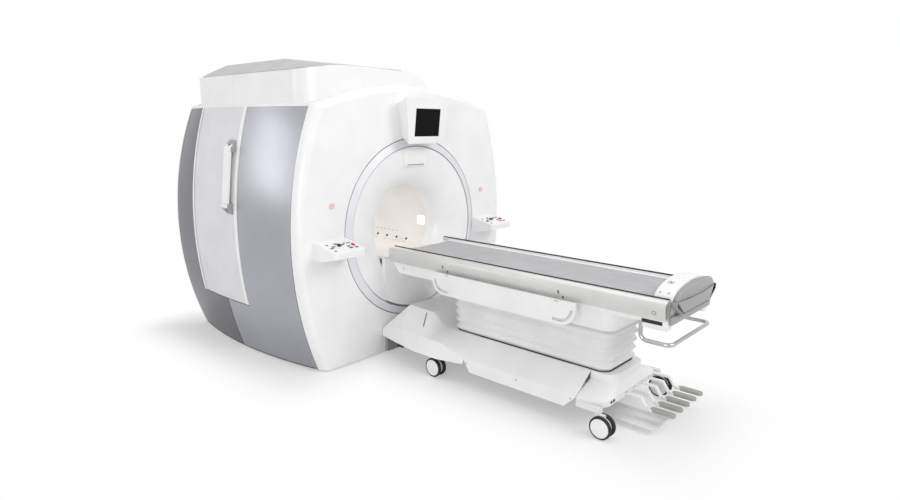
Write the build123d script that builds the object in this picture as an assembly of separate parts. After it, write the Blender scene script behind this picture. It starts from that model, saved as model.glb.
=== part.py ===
from build123d import *
from math import atan2, degrees
import os

# Magnet covers: half widths of the barrel-shaped side wall at the ends and in the middle of the depth
bore_axis_height = 1054
magnet_half_depth = 1000
cover_depth = 78
seam_gap = 4
floor_gap = 12
belly_height = 1200
panel_top_height = 2063
end_half_foot = 990
end_half_belly = 1190
end_half_top = 970
mid_half_foot = 1115
mid_half_belly = 1295
mid_half_top = 1155
panel_thickness = 25
touch_gap = 0.3
overrun = 40

# Front and rear covers
cover_wall = 32
cover_rim = 60
cover_edge_round = 42
edge_depth_share = 0.3
edge_inset_share = 0.3
cover_arch_rise = 157

# Ring band and bell-mouthed flares
ring_outer_radius = 765
ring_inner_radius = 703
ring_gap = 8
ring_rise = 15
flare_rise = 8
flare_wall = 12
bore_radius = 350
liner_wall = 10
liner_half_length = 800
throat_pull_share = 0.55
dish_pull_share = 0.62

# Door-like lift-off panel in each side wall
door_front = -300
door_rear = 470
door_bottom = 465
panel_split = 30
frame_lap = 30
frame_thickness = 20

# Handle plate on the lift-off panel
handle_bottom = 1245
handle_top = 1775
handle_front = -245
handle_width = 95
handle_thickness = 14
handle_standoff = 34
bracket_height = 62

# Arched top cover, crown and roof lid
top_cover_thickness = 20
crown_left = -980
crown_right = 262
crown_front = -916
crown_rear = 775
crown_corner = 240
crown_side_rise = 95
crown_shoulder_rise = 30
crown_top_rise = 42
crown_wall = 22
roof_rise = 79
roof_inset = 22
roof_ridge_left = -750
roof_ridge_right = -90
roof_ridge_front = -260
roof_ridge_rear = 690
seam_width = 4
crown_seam = 190
cover_apex_height = panel_top_height + top_cover_thickness + cover_arch_rise
crown_side_height = cover_apex_height + crown_side_rise
crown_shoulder_height = crown_side_height + crown_shoulder_rise
crown_top_height = crown_side_height + crown_top_rise
roof_height = crown_top_height + roof_rise
crown_rise_shares = (0.15, 0.42)
crown_round_shares = (7.2, 0.2)
crown_fall_shares = (0.6, 0.78)

# Magnet inside the covers
vessel_radius = 930
vessel_half_length = 850
vessel_wall = 14
warm_bore_radius = 470
plinth_height = 40
plinth_inset = 52
saddle_spacing = 1000
saddle_depth = 170
saddle_half_width = 470
saddle_height = 250
former_wall = 16
coil_count = 6
coil_width = 100
coil_height = 60
gradient_inner_radius = 392
gradient_half_length = 740
turret_x = -400
turret_y = 100
turret_radius = 120
turret_height = 2000
cold_head_radius = 85
cold_head_step = 2170
cold_head_neck_radius = 58
cold_head_top = 2310

# Screen, light box, pedestal and bridge
screen_width = 286
screen_height = 226
screen_bottom = 1836
screen_thickness = 6
housing_lean = 40
housing_front_top = 1180
housing_bezel = 58
housing_foot_half = 205
housing_back_top_half = 190
housing_back_foot_half = 150
housing_back_bottom = 1838
housing_back_top = 2105
light_box_half_width = 146
light_box_taper = 22
light_box_bottom = 1588
light_box_top = 1724
light_box_front = 1016
bridge_height = 840
bridge_half_width = 255
bridge_thickness = 20
pedestal_half_width = 355
pedestal_bow = 38
pedestal_depth = 40
port_count = 4
port_pitch = 133
port_first = -610
port_x = 236
port_length = 44
port_width = 26
port_depth = 12

# Control consoles and stop buttons
console_centre = 915
console_width = 300
console_reach = 262
console_back_height = 1064
console_drop = 56
console_lip = 44
console_depth = 138
console_corner = 40
console_slope = console_drop / console_reach
console_tilt = degrees(atan2(console_drop, console_reach))
dial_radius = 17
dial_height = 11
dial_shift = -12
dial_reach = 128
dial_pin_radius = 5
dial_pin_length = 9
running_gap = 0.06
key_shift = 104
key_reach = 150
key_length = 34
key_width = 16
key_height = 9
key_travel = 4
stop_button_x = 890
stop_button_height = 1322
stop_button_radius = 21
stop_button_length = 22
stop_button_rise = 12
guide_gap = 0.4

# Dock block and the table's dock arms
dock_half_width = 368
dock_bottom = 20
dock_top = 150
dock_depth = 30
dock_pin_x = 300
dock_pin_height = 100
dock_pin_radius = 13
dock_pin_gap = 0.5
dock_clearance = 8
dock_arm_front = 1112
dock_arm_depth = 60

# Table top: side tubes, trough, cradle
table_head = 1056
table_foot = 3428
tube_inner = 303
tube_outer = 362
tube_bottom = 812
tube_top = 938
tube_lip = 20
tube_belly_height = 878
tube_foot_half = 338
cradle_half_width = 298
cradle_bottom = 846
cradle_bottom_half = 200
cradle_shoulder_height = 906
cradle_top = 934
cradle_head = 1150
cradle_foot = 3440
cradle_rim = 20
cradle_floor = 10
trough_gap = 0.5
trough_floor = 14
pad_crown = 8
skirt_head = 1640
skirt_foot = 3044
skirt_bottom = 630
skirt_half_width = 250
skirt_corner = 80
frame_half_width = 318
bracket_bottom = 722
bracket_foot = 1712
bracket_rake = 76
tail_bottom = 780
foot_box_head = 3300
foot_box_top = 1002
foot_box_top_half = 205
foot_box_slope = 42
end_cap_foot = 3562
end_cap_top = 986
cap_bow_shares = (0.75, 0.45)
lift_stroke = 200

# Side rails and push handle
rail_head = 1575
rail_foot = 2850
rail_bottom = 650
rail_thickness = 14
rail_corner = 115
rail_loop_width = 22
rail_slot_width = 20
rail_slot_run = 60
rail_gap = 5
rail_lip = 7
pivot_rod_radius = 4
pivot_radius = 8
pivot_length = 30
pivot_inset = 150
pivot_web = 8
handle_tube_radius = 13
handle_half_width = 310
handle_leg_y = 3262
handle_drop_height = 662
handle_reach = 3455
handle_bend = 45

# Bellows
fold_count = 5
fold_depth = 24
bellows_half_width = 222
bellows_head = 1652
bellows_foot = 3020
bellows_corner = 78
bellows_wall_inset = 46
bellows_spread = 20

# Table base
base_top = 330
base_bottom = 165
side_bottom = 120
base_shoulder = 205
base_top_half = 228
base_shoulder_half = 405
base_foot_half = 428
base_wall = 14
hood_front = 1008
hood_nose_half = 400
hood_nose_height = 232
hood_brow = 1210
hood_brow_half = 270
hood_brow_height = 450
hood_arch_half = 486
hood_shoulder_half = 424
hood_shoulder = 278
hood_back = 1470
hood_back_half = 250
hood_back_height = 437
hood_ledge = 1580
hood_turn = 1706
side_front = 1928
side_rear = 2896
side_corner = 76
apron_bottom = 167
apron_top = 207
apron_half_width = 405
apron_end = 3095
apron_corner = 100
collar_foot = 276
collar_end = 3068
collar_corner = 84
column_spacing = 760
column_centre = 2440
column_width = 170
column_depth = 120
column_wall = 14
column_top = 525
ram_clearance = 5
column_gap = 0.4
spine_half_width = 190
spine_bottom = 172
spine_top = 215
beam_bottom = 162
beam_top = 190
beam_depth = 60

# Casters
caster_x = 430
caster_front = 1627
caster_rear = 3075
caster_trail = 35
wheel_radius = 75
wheel_width = 26
wheel_round = 7
hub_radius = 52
hub_recess = 4
fork_width = 28
fork_radius = 58
fork_top = 160
fork_plate_gap = 2.5
fork_gap = 1.2
stem_radius = 12
stem_top = 188
boss_radius = 21
axle_radius = 8

# Foot pedals
pedal_count = 5
pedal_first = -85
pedal_pitch = 114
pedal_pivot_y = 3030
pedal_pivot_height = 183
pedal_rod_radius = 6
pedal_hub_radius = 12
pedal_hub_width = 34
lever_width = 30
lever_thickness = 12
lever_knee = 3200
lever_ankle = 3245
pad_end = 3432
pad_width = 52
pad_thickness = 18
pad_height = 124
slot_height = 198
guard_height = 36
guard_thickness = 6
guard_foot = 3350


def block(x0, x1, y0, y1, z0, z1):
    """A box between two corners."""
    return Pos((x0 + x1) / 2, (y0 + y1) / 2, (z0 + z1) / 2) * Box(x1 - x0, y1 - y0, z1 - z0)


def drum(radius, y0, y1):
    """A cylinder along the bore axis."""
    return Pos(0, (y0 + y1) / 2, bore_axis_height) * Rot(90, 0, 0) * Cylinder(radius, y1 - y0)


def tube(outer, inner, y0, y1):
    """A tube along the bore axis."""
    return drum(outer, y0, y1) - drum(inner, y0 - overrun, y1 + overrun)


def along_y(edges, y0, y1):
    """Extrudes an outline drawn at Y = 0 from y0 to y1."""
    return Pos(0, y0, 0) * extrude(make_face(edges), amount=y1 - y0, dir=(0, 1, 0))


def along_x(edges, x0, x1):
    """Extrudes an outline drawn at X = 0 from x0 to x1."""
    return Pos(x0, 0, 0) * extrude(make_face(edges), amount=x1 - x0, dir=(1, 0, 0))


def xz(points):
    """A closed outline in the XZ plane."""
    return Polyline([(x, 0, z) for x, z in points], close=True)


def yz(points):
    """A closed outline in the YZ plane."""
    return Polyline([(0, y, z) for y, z in points], close=True)


def mirrored(shape):
    """The same piece on the other side of the symmetry plane."""
    return mirror(shape, about=Plane.YZ)


def half_widths(y):
    """Half widths of the side wall at floor, belly and top, at one depth."""
    swell = 1 - (y / magnet_half_depth) ** 2
    foot = end_half_foot + (mid_half_foot - end_half_foot) * swell
    belly = end_half_belly + (mid_half_belly - end_half_belly) * swell
    top = end_half_top + (mid_half_top - end_half_top) * swell
    return foot, belly, top


def wall_strip(y, outer_inset, inner_inset):
    """Section of the right side wall at one depth, between two insets from its outer face."""
    foot, belly, top = half_widths(y)

    def at(half, inset, height):
        return (half - inset, y, height)

    outer = ThreePointArc(
        at(foot, outer_inset, floor_gap),
        at(belly, outer_inset, belly_height),
        at(top, outer_inset, panel_top_height),
    )
    inner = ThreePointArc(
        at(foot, inner_inset, floor_gap),
        at(belly, inner_inset, belly_height),
        at(top, inner_inset, panel_top_height),
    )
    return make_face([outer, Line(outer @ 1, inner @ 1), inner, Line(inner @ 0, outer @ 0)])


def wall_sheet(outer_inset, inner_inset):
    """The right side wall as one barrel-curved sheet over the whole depth."""
    stations = (-magnet_half_depth, 0, magnet_half_depth)
    return loft([wall_strip(y, outer_inset, inner_inset) for y in stations])


def cover_face(y, inset, apex):
    """Outline of the front cover at one depth: barrel sides and an arched top."""
    foot, belly, top = (half - inset for half in half_widths(y))
    corner = panel_top_height + top_cover_thickness - inset
    low = floor_gap
    right = ThreePointArc((foot, y, low), (belly, y, belly_height), (top, y, corner))
    crown_arc = ThreePointArc((top, y, corner), (0, y, apex), (-top, y, corner))
    left = ThreePointArc((-top, y, corner), (-belly, y, belly_height), (-foot, y, low))
    return make_face([right, crown_arc, left, Line((-foot, y, low), (foot, y, low))])


def arch(thickness_below):
    """The arch of the top cover as an open curve, lowered by a thickness."""
    edge = panel_top_height + top_cover_thickness - thickness_below
    apex = cover_apex_height - thickness_below
    return ThreePointArc((-end_half_top, 0, edge), (0, 0, apex), (end_half_top, 0, edge))


# Magnet base with its saddles, and the vessel standing on them
panel_half_depth = magnet_half_depth - cover_depth - seam_gap


def make_magnet_base():
    foot_end = half_widths(panel_half_depth)[0] - plinth_inset
    foot_mid = mid_half_foot - plinth_inset
    rear_right = (foot_end, panel_half_depth, 0)
    front_right = (foot_end, -panel_half_depth, 0)
    rear_left = (-foot_end, panel_half_depth, 0)
    front_left = (-foot_end, -panel_half_depth, 0)
    outline = [
        ThreePointArc(front_right, (foot_mid, 0, 0), rear_right),
        Line(rear_right, rear_left),
        ThreePointArc(rear_left, (-foot_mid, 0, 0), front_left),
        Line(front_left, front_right),
    ]
    base = extrude(make_face(outline), amount=plinth_height, dir=(0, 0, 1))
    for y in (-saddle_spacing / 2, saddle_spacing / 2):
        low, high = y - saddle_depth / 2, y + saddle_depth / 2
        base += block(-saddle_half_width, saddle_half_width, low, high, 0, saddle_height)
    return base - drum(vessel_radius + touch_gap, -magnet_half_depth, magnet_half_depth)


def make_vessel():
    can = tube(vessel_radius, warm_bore_radius, -vessel_half_length, vessel_half_length)
    turret_low = bore_axis_height + warm_bore_radius
    neck_length = turret_height - turret_low
    neck = Cylinder(turret_radius, neck_length, align=(Align.CENTER, Align.CENTER, Align.MIN))
    can += Pos(turret_x, turret_y, turret_low) * neck
    room_half = vessel_half_length - vessel_wall
    room = tube(vessel_radius - vessel_wall, warm_bore_radius + vessel_wall, -room_half, room_half)
    return can - room


def make_coil_set():
    """Superconducting windings on their former, inside the vessel."""
    room_half = vessel_half_length - vessel_wall
    former_inner = warm_bore_radius + vessel_wall + touch_gap
    former_outer = former_inner + former_wall
    parts = [tube(former_outer, former_inner, -room_half, room_half)]
    pitch = (2 * room_half - coil_width) / coil_count
    for number in range(coil_count):
        centre = -room_half + coil_width / 2 + pitch * (number + 1 / 2)
        low, high = centre - coil_width / 2, centre + coil_width / 2
        parts.append(tube(former_outer + coil_height, former_outer + touch_gap, low, high))
    return Compound(children=parts)


def make_gradient_coil():
    outer = warm_bore_radius - touch_gap
    return tube(outer, gradient_inner_radius, -gradient_half_length, gradient_half_length)


def make_cold_head():
    low = (Align.CENTER, Align.CENTER, Align.MIN)
    head = Cylinder(cold_head_radius, cold_head_step - turret_height, align=low)
    neck = Cylinder(cold_head_neck_radius, cold_head_top - turret_height, align=low)
    return Pos(turret_x, turret_y, turret_height) * (head + neck)


def make_liner():
    return tube(bore_radius + liner_wall, bore_radius, -liner_half_length, liner_half_length)


# Frames that carry the covers
hoop_front = -magnet_half_depth + cover_wall
opening_radius = ring_outer_radius + ring_gap
flare_rim_radius = ring_inner_radius - ring_gap
hoop_outer = opening_radius + cover_wall
hoop_inner = flare_rim_radius - flare_wall


def door_zone(margin):
    """Space of the lift-off panel, grown by a margin on each edge."""
    outside = mid_half_belly + overrun
    top = panel_top_height + overrun
    return block(0, outside, door_front - margin, door_rear + margin, door_bottom - margin, top)


def make_cover_frame():
    """Front and rear hoops on the vessel's ends, and a window frame behind each side wall."""
    hoop = tube(hoop_outer, hoop_inner, hoop_front, -vessel_half_length)
    groove_front, groove_rear = hoop_front + cover_wall, -vessel_half_length - cover_wall
    groove = tube(hoop_outer + overrun, hoop_inner + flare_wall, groove_front, groove_rear)
    hoop -= groove
    inner_face = panel_thickness + touch_gap
    side = wall_sheet(inner_face, inner_face + frame_thickness)
    reach = magnet_half_depth - cover_depth
    outside = mid_half_belly + overrun
    side &= block(0, outside, -reach, reach, 0, panel_top_height)
    side -= door_zone(-frame_lap)
    window_low, window_high = floor_gap + frame_lap * 2, panel_top_height - frame_lap * 2
    side -= block(0, outside, -reach + frame_lap, door_front - frame_lap, window_low, window_high)
    side -= block(0, outside, door_rear + frame_lap, reach - frame_lap, window_low, window_high)
    lower_top = door_bottom - frame_lap
    side -= block(0, outside, door_front, panel_split - frame_lap, window_low, lower_top)
    side -= block(0, outside, panel_split + frame_lap, door_rear, window_low, lower_top)
    rear_hoop = mirror(hoop, about=Plane.XZ)
    return Compound(children=[hoop, rear_hoop, side, mirrored(side)])


# Outer covers
def make_front_cover():
    back = -magnet_half_depth + cover_depth
    middle = -magnet_half_depth + cover_depth * edge_depth_share
    face = -magnet_half_depth
    shell = loft(
        [
            cover_face(back, 0, cover_apex_height),
            cover_face(middle, cover_edge_round * edge_inset_share, cover_apex_height),
            cover_face(face, cover_edge_round, cover_apex_height - cover_edge_round),
        ]
    )
    rim_inset = cover_rim + cover_edge_round
    hollow_face = cover_face(face, rim_inset, cover_apex_height - rim_inset)
    hollow = Pos(0, cover_wall, 0) * extrude(hollow_face, amount=cover_depth, dir=(0, 1, 0))
    hollow &= block(
        -mid_half_belly,
        mid_half_belly,
        hoop_front,
        0,
        floor_gap + cover_rim,
        cover_apex_height,
    )
    return shell - hollow - drum(opening_radius, -magnet_half_depth - overrun, 0)


def make_ring_band():
    """Raised band round the bore opening, its inner edge standing further forward."""
    face = -magnet_half_depth
    section = Polyline(
        (ring_outer_radius, face, bore_axis_height),
        (ring_inner_radius, face - ring_rise, bore_axis_height),
        (ring_inner_radius, hoop_front, bore_axis_height),
        (ring_outer_radius, hoop_front, bore_axis_height),
        close=True,
    )
    return revolve(make_face(section), Axis((0, 0, bore_axis_height), (0, 1, 0)))


def flare_curve(wall):
    """Bell-mouth curve from the bore liner to the rim, moved back by a wall."""
    throat = bore_radius + wall
    start = -liner_half_length
    rim_y = -magnet_half_depth - flare_rise + wall
    rim = flare_rim_radius
    pull_back = start + (rim_y - start) * throat_pull_share
    pull_out = throat + (rim - throat) * (1 - dish_pull_share)
    z = bore_axis_height
    return Bezier((throat, start, z), (throat, pull_back, z), (pull_out, rim_y + wall, z), (rim, rim_y, z))


def make_flare(notch):
    """Bell mouth between the liner and the ring band, with a skirt that seats on the hoop."""
    inner, outer = flare_curve(0), flare_curve(flare_wall)
    section = [inner, Line(inner @ 1, outer @ 1), outer, Line(outer @ 0, inner @ 0)]
    axis = Axis((0, 0, bore_axis_height), (0, 1, 0))
    bell = revolve(make_face(section), axis)
    rim_y = -magnet_half_depth - flare_rise
    bell += tube(flare_rim_radius, hoop_inner, rim_y + flare_wall / 2, hoop_front)
    if notch:
        reach = pedestal_half_width + touch_gap
        bell -= block(-reach, reach, -magnet_half_depth - overrun, -liner_half_length, 0, bridge_height)
    return bell


def make_side_panels():
    """The right front panel, lift-off panel and rear panel of the barrel-curved side wall."""
    sheet = wall_sheet(0, panel_thickness)
    outside = mid_half_belly + overrun
    top = panel_top_height
    half_seam = seam_gap / 2
    front = sheet & block(0, outside, -panel_half_depth, panel_split - half_seam, 0, top)
    rear = sheet & block(0, outside, panel_split + half_seam, panel_half_depth, 0, top)
    door = sheet & door_zone(-half_seam)
    return front - door_zone(half_seam), door, rear - door_zone(half_seam)


def wall_half_width(y, height):
    """Half width of the side wall's outer face above the belly."""
    _, belly, top = half_widths(y)
    rise = (height - belly_height) / (panel_top_height - belly_height)
    return belly - (belly - top) * rise ** 2


def make_handle():
    """A flat handle plate on two wedge brackets, leaning with the side wall."""
    y0, y1 = handle_front, handle_front + handle_width
    middle = (y0 + y1) / 2
    low = wall_half_width(middle, handle_bottom) + handle_standoff
    high = wall_half_width(middle, handle_top) + handle_standoff
    plate_low, plate_high = handle_bottom + bracket_height / 2, handle_top - bracket_height / 2
    lean = (high - low) / (handle_top - handle_bottom)
    at_low = low + lean * (plate_low - handle_bottom)
    at_high = low + lean * (plate_high - handle_bottom)
    plate = along_y(
        xz(
            [
                (at_low, plate_low),
                (at_low + handle_thickness, plate_low),
                (at_high + handle_thickness, plate_high),
                (at_high, plate_high),
            ]
        ),
        y0,
        y1,
    )
    for height, flip in ((handle_bottom, 1), (handle_top, -1)):
        seat = wall_half_width(middle, height + flip * bracket_height / 2)
        root = seat - panel_thickness / 2
        tip = low + lean * (height + flip * bracket_height / 2 - handle_bottom) + handle_thickness
        wedge = along_y(
            xz(
                [
                    (root, height - flip * bracket_height / 2),
                    (tip, height + flip * bracket_height / 2),
                    (tip, height + flip * bracket_height),
                    (root, height + flip * bracket_height),
                ]
            ),
            y0,
            y1,
        )
        plate += wedge
    return plate - wall_sheet(-touch_gap, panel_thickness * 2)


def make_top_cover():
    """Arched cover between the side walls, with flat ledges on the panels' top edges."""
    reach = magnet_half_depth - cover_depth
    end = half_widths(reach)[2]
    plan = [
        ThreePointArc((end, -reach, 0), (mid_half_top, 0, 0), (end, reach, 0)),
        Line((end, reach, 0), (-end, reach, 0)),
        ThreePointArc((-end, reach, 0), (-mid_half_top, 0, 0), (-end, -reach, 0)),
        Line((-end, -reach, 0), (end, -reach, 0)),
    ]
    room = Pos(0, 0, panel_top_height) * extrude(
        make_face(plan), amount=cover_apex_height - panel_top_height, dir=(0, 0, 1)
    )
    upper, lower = arch(0), arch(top_cover_thickness)
    side = mid_half_top + overrun
    edge_top = panel_top_height + top_cover_thickness
    sheet = along_y(
        [
            upper,
            Polyline(upper @ 1, (side, 0, edge_top), (side, 0, panel_top_height), lower @ 1),
            lower,
            Polyline(lower @ 0, (-side, 0, panel_top_height), (-side, 0, edge_top), upper @ 0),
        ],
        -reach,
        reach,
    )
    hole = Pos(turret_x, turret_y, cover_apex_height) * Cylinder(turret_radius, cover_apex_height)
    return (sheet & room) - hole


def crown_top_curve(lift):
    """Top line of the crown seen from the front, rising from the left and rounding off on the right."""
    rise = crown_top_height - crown_side_height
    run = crown_right - crown_left
    round_start = crown_right - rise * crown_round_shares[0]
    return Spline(
        (crown_left, 0, crown_side_height + lift),
        (crown_left + run * crown_rise_shares[0], 0, crown_shoulder_height + lift),
        (crown_left + run * crown_rise_shares[1], 0, crown_top_height + lift),
        (round_start, 0, crown_top_height - rise * crown_round_shares[1] + lift),
    )


def arch_height(x):
    """Height of the top cover's arch at one place across."""
    edge = panel_top_height + top_cover_thickness
    rise = cover_apex_height - edge
    radius = (end_half_top ** 2 + rise ** 2) / (2 * rise)
    return cover_apex_height - radius + (radius ** 2 - x ** 2) ** (1 / 2)


def crown_plan(inset):
    """Space of the crown in plan, with its front left corner rounded."""
    low, high = panel_top_height, roof_height + overrun
    room = block(crown_left + inset, crown_right, crown_front + inset, crown_rear - inset, low, high)
    edges = room.edges().filter_by(Axis.Z)
    corner = edges.sort_by(lambda e: e.center().X + e.center().Y)[0]
    return fillet([corner], crown_corner - inset)


def make_crown():
    top = crown_top_curve(0)
    landing = arch_height(crown_right) + touch_gap
    edge = panel_top_height + top_cover_thickness + touch_gap
    start = top @ 1
    fall_x = start.X + (crown_right - start.X) * crown_fall_shares[0]
    fall = Spline(
        start,
        (fall_x, 0, landing + (start.Z - landing) * crown_fall_shares[1]),
        (crown_right, 0, landing),
        tangents=[top % 1, (1, 0, -1)],
    )
    underside = Spline(
        (crown_right, 0, landing),
        (0, 0, cover_apex_height + touch_gap),
        (crown_left / 2, 0, arch_height(crown_left / 2) + touch_gap),
        (-end_half_top, 0, edge),
    )
    outline = [
        top,
        fall,
        underside,
        Polyline((-end_half_top, 0, edge), (crown_left, 0, edge), (crown_left, 0, crown_side_height)),
    ]
    body = along_y(outline, crown_front, crown_rear) & crown_plan(0)
    room_top = crown_side_height - crown_wall
    room = along_y(
        xz(
            [
                (crown_left + crown_wall, edge - overrun),
                (crown_left + crown_wall, room_top),
                (start.X, room_top),
                (start.X, edge - overrun),
            ]
        ),
        crown_front + crown_wall,
        crown_rear - crown_wall,
    )
    groove_depth = seam_width / 2
    groove = block(
        crown_left - overrun,
        crown_left + groove_depth,
        crown_seam,
        crown_seam + seam_width,
        edge,
        crown_side_height + overrun,
    )
    return body - (room & crown_plan(crown_wall)) - groove


def make_roof():
    """Grey hipped lid on the crown."""
    base = crown_top_curve(touch_gap)
    trim_left = crown_left + roof_inset
    start = base @ 1
    sheet = along_y(
        [
            base,
            Polyline(
                start,
                (roof_ridge_right, 0, roof_height),
                (roof_ridge_left, 0, roof_height),
                (crown_left, 0, crown_side_height + touch_gap),
            ),
        ],
        crown_front + roof_inset,
        crown_rear - roof_inset,
    )
    slope = along_x(
        yz(
            [
                (crown_front + roof_inset, crown_side_height - overrun),
                (crown_front + roof_inset, crown_top_height + touch_gap),
                (roof_ridge_front, roof_height),
                (roof_ridge_rear, roof_height),
                (crown_rear - roof_inset, crown_top_height),
                (crown_rear - roof_inset, crown_side_height - overrun),
            ]
        ),
        trim_left,
        crown_right,
    )
    low = crown_side_height - overrun
    high = roof_height - crown_wall
    room = block(roof_ridge_left, roof_ridge_right, roof_ridge_front, roof_ridge_rear, low, high)
    return (sheet & slope & crown_plan(roof_inset)) - room


# Fittings on the front cover
def make_screen_housing():
    """Tilted housing that widens from the cover to a bezel, with a pocket for the screen."""
    face = -magnet_half_depth
    top_y, foot_y = -housing_front_top, -housing_front_top + housing_lean
    top_half = screen_width / 2 + housing_bezel * 2
    low, high = screen_bottom - housing_bezel, screen_bottom + screen_height + housing_bezel * 3 / 2
    back = make_face(
        Polyline(
            (-housing_back_foot_half, face, housing_back_bottom),
            (housing_back_foot_half, face, housing_back_bottom),
            (housing_back_top_half, face, housing_back_top),
            (-housing_back_top_half, face, housing_back_top),
            close=True,
        )
    )
    front = make_face(
        Polyline(
            (-housing_foot_half, foot_y, low),
            (housing_foot_half, foot_y, low),
            (top_half, top_y, high),
            (-top_half, top_y, high),
            close=True,
        )
    )
    body = loft([back, front])
    return body - screen_place() * Box(screen_width, screen_thickness * 2, screen_height)


def screen_place():
    """Centre of the screen on the tilted face of its housing."""
    low = screen_bottom - housing_bezel
    high = screen_bottom + screen_height + housing_bezel * 3 / 2
    centre = screen_bottom + screen_height / 2
    y = -housing_front_top + housing_lean * (high - centre) / (high - low)
    return Pos(0, y, centre) * Rot(degrees(atan2(housing_lean, high - low)), 0, 0)


def make_screen():
    glass = Box(screen_width - touch_gap, screen_thickness, screen_height - touch_gap)
    return screen_place() * Pos(0, screen_thickness / 2, 0) * glass


def make_light_box():
    """Alignment light box on the flare, below the top of the ring."""
    half, foot = light_box_half_width, light_box_half_width - light_box_taper
    box = along_y(
        xz(
            [
                (-foot, light_box_bottom),
                (foot, light_box_bottom),
                (half, light_box_top),
                (-half, light_box_top),
            ]
        ),
        -light_box_front,
        -liner_half_length,
    )
    bell = flare_curve(-touch_gap)
    z = bore_axis_height
    behind = revolve(
        make_face(
            [
                bell,
                Polyline(bell @ 1, (flare_rim_radius, 0, z), (bore_radius - touch_gap, 0, z), bell @ 0),
            ]
        ),
        Axis((0, 0, z), (0, 1, 0)),
    )
    return box - behind


def make_bridge():
    """Track through the bore that carries the cradle, with sockets beside it."""
    top = bridge_height
    seat = drum(bore_radius - touch_gap, -liner_half_length, liner_half_length)
    low = top - bridge_thickness
    bed = seat & block(-bore_radius, bore_radius, -magnet_half_depth, magnet_half_depth, 0, low)
    front = -magnet_half_depth
    plate = block(-bridge_half_width, bridge_half_width, front, magnet_half_depth, low, top)
    apron = pedestal_half_width
    plate += block(-apron, apron, front, -liner_half_length - touch_gap, top - bridge_thickness, top)
    hollow_half = bridge_half_width / 2
    hollow_low = bore_axis_height - bore_radius + bridge_thickness * 2
    hollow = block(
        -hollow_half, hollow_half, -liner_half_length, liner_half_length, hollow_low, top - bridge_thickness
    )
    track = bed - hollow + plate
    for number in range(port_count):
        y = port_first + port_pitch * number
        x0, x1 = port_x - port_width / 2, port_x + port_width / 2
        track -= block(x0, x1, y - port_length / 2, y + port_length / 2, top - port_depth, top + overrun)
    return track


def make_pedestal():
    """Bowed panel that closes the flare's notch below the bridge."""
    half, face = pedestal_half_width, -magnet_half_depth
    back = face + pedestal_depth
    plan = [
        ThreePointArc((-half, face, 0), (0, face - pedestal_bow, 0), (half, face, 0)),
        Polyline((half, face, 0), (half, back, 0), (-half, back, 0), (-half, face, 0)),
    ]
    post = extrude(make_face(plan), amount=bridge_height - bridge_thickness, dir=(0, 0, 1))
    return post & drum(hoop_inner - touch_gap, -magnet_half_depth - pedestal_bow - overrun, 0)


def console_place(shift, reach):
    """Frame on the sloping top of a console: X across, Z out of the top."""
    height = console_back_height - console_slope * reach
    tilt = console_tilt
    return Pos(shift, -magnet_half_depth - reach, height) * Rot(tilt, 0, 0)


def make_console(centre):
    face = -magnet_half_depth
    tip = face - console_reach
    front_top = console_back_height - console_drop
    shelf = along_x(
        yz(
            [
                (face, console_back_height),
                (tip, front_top),
                (tip, front_top - console_lip),
                (face - console_reach / 3, console_back_height - console_depth),
                (face, console_back_height - console_depth),
            ]
        ),
        centre - console_width / 2,
        centre + console_width / 2,
    )
    corners = [e for e in shelf.edges().filter_by(Axis.Z) if e.center().Y < tip + console_corner]
    shelf = fillet(corners, console_corner)
    place = console_place(centre + dial_shift, dial_reach)
    shelf -= place * Cylinder(dial_pin_radius + running_gap, dial_pin_length * 2)
    place = console_place(centre + key_shift, key_reach)
    well = key_height + key_travel + guide_gap
    return shelf - place * Box(key_width + 2 * guide_gap, key_length + 2 * guide_gap, well * 2)


def make_dial(centre):
    low = (Align.CENTER, Align.CENTER, Align.MIN)
    high = (Align.CENTER, Align.CENTER, Align.MAX)
    knob = Pos(0, 0, touch_gap) * Cylinder(dial_radius, dial_height, align=low)
    pin = Pos(0, 0, touch_gap) * Cylinder(dial_pin_radius, dial_pin_length, align=high)
    return console_place(centre + dial_shift, dial_reach) * (knob + pin)


def make_stop_key(centre):
    key = Box(key_width, key_length, key_height * 2)
    return console_place(centre + key_shift, key_reach) * key


def make_stop_button(x):
    y = -magnet_half_depth + stop_button_length / 2 - stop_button_rise
    return Pos(x, y, stop_button_height) * Rot(90, 0, 0) * Cylinder(stop_button_radius, stop_button_length)


def stop_button_well(x):
    depth = stop_button_length - stop_button_rise + key_travel + guide_gap
    y = -magnet_half_depth
    well = Cylinder(stop_button_radius + guide_gap, depth * 2)
    return Pos(x, y, stop_button_height) * Rot(90, 0, 0) * well


def make_dock_block():
    face = -magnet_half_depth
    body = block(-dock_half_width, dock_half_width, face - dock_depth, face, dock_bottom, dock_top)
    for x in (-dock_pin_x, dock_pin_x):
        hole = Cylinder(dock_pin_radius + dock_pin_gap, dock_depth * 3)
        body -= Pos(x, face, dock_pin_height) * Rot(90, 0, 0) * hole
    return body


# Table top
def tube_section():
    """Outline of the rounded side tube."""
    bulge = ThreePointArc(
        (tube_inner + tube_lip, 0, tube_top),
        (tube_outer - tube_lip / 4, 0, (tube_top + tube_belly_height) / 2 + tube_lip / 4),
        (tube_outer, 0, tube_belly_height),
    )
    rest = Polyline(
        (tube_outer, 0, tube_belly_height),
        (tube_foot_half, 0, tube_bottom),
        (tube_inner, 0, tube_bottom),
        (tube_inner, 0, tube_top),
        (tube_inner + tube_lip, 0, tube_top),
    )
    return [bulge, rest]


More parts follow.
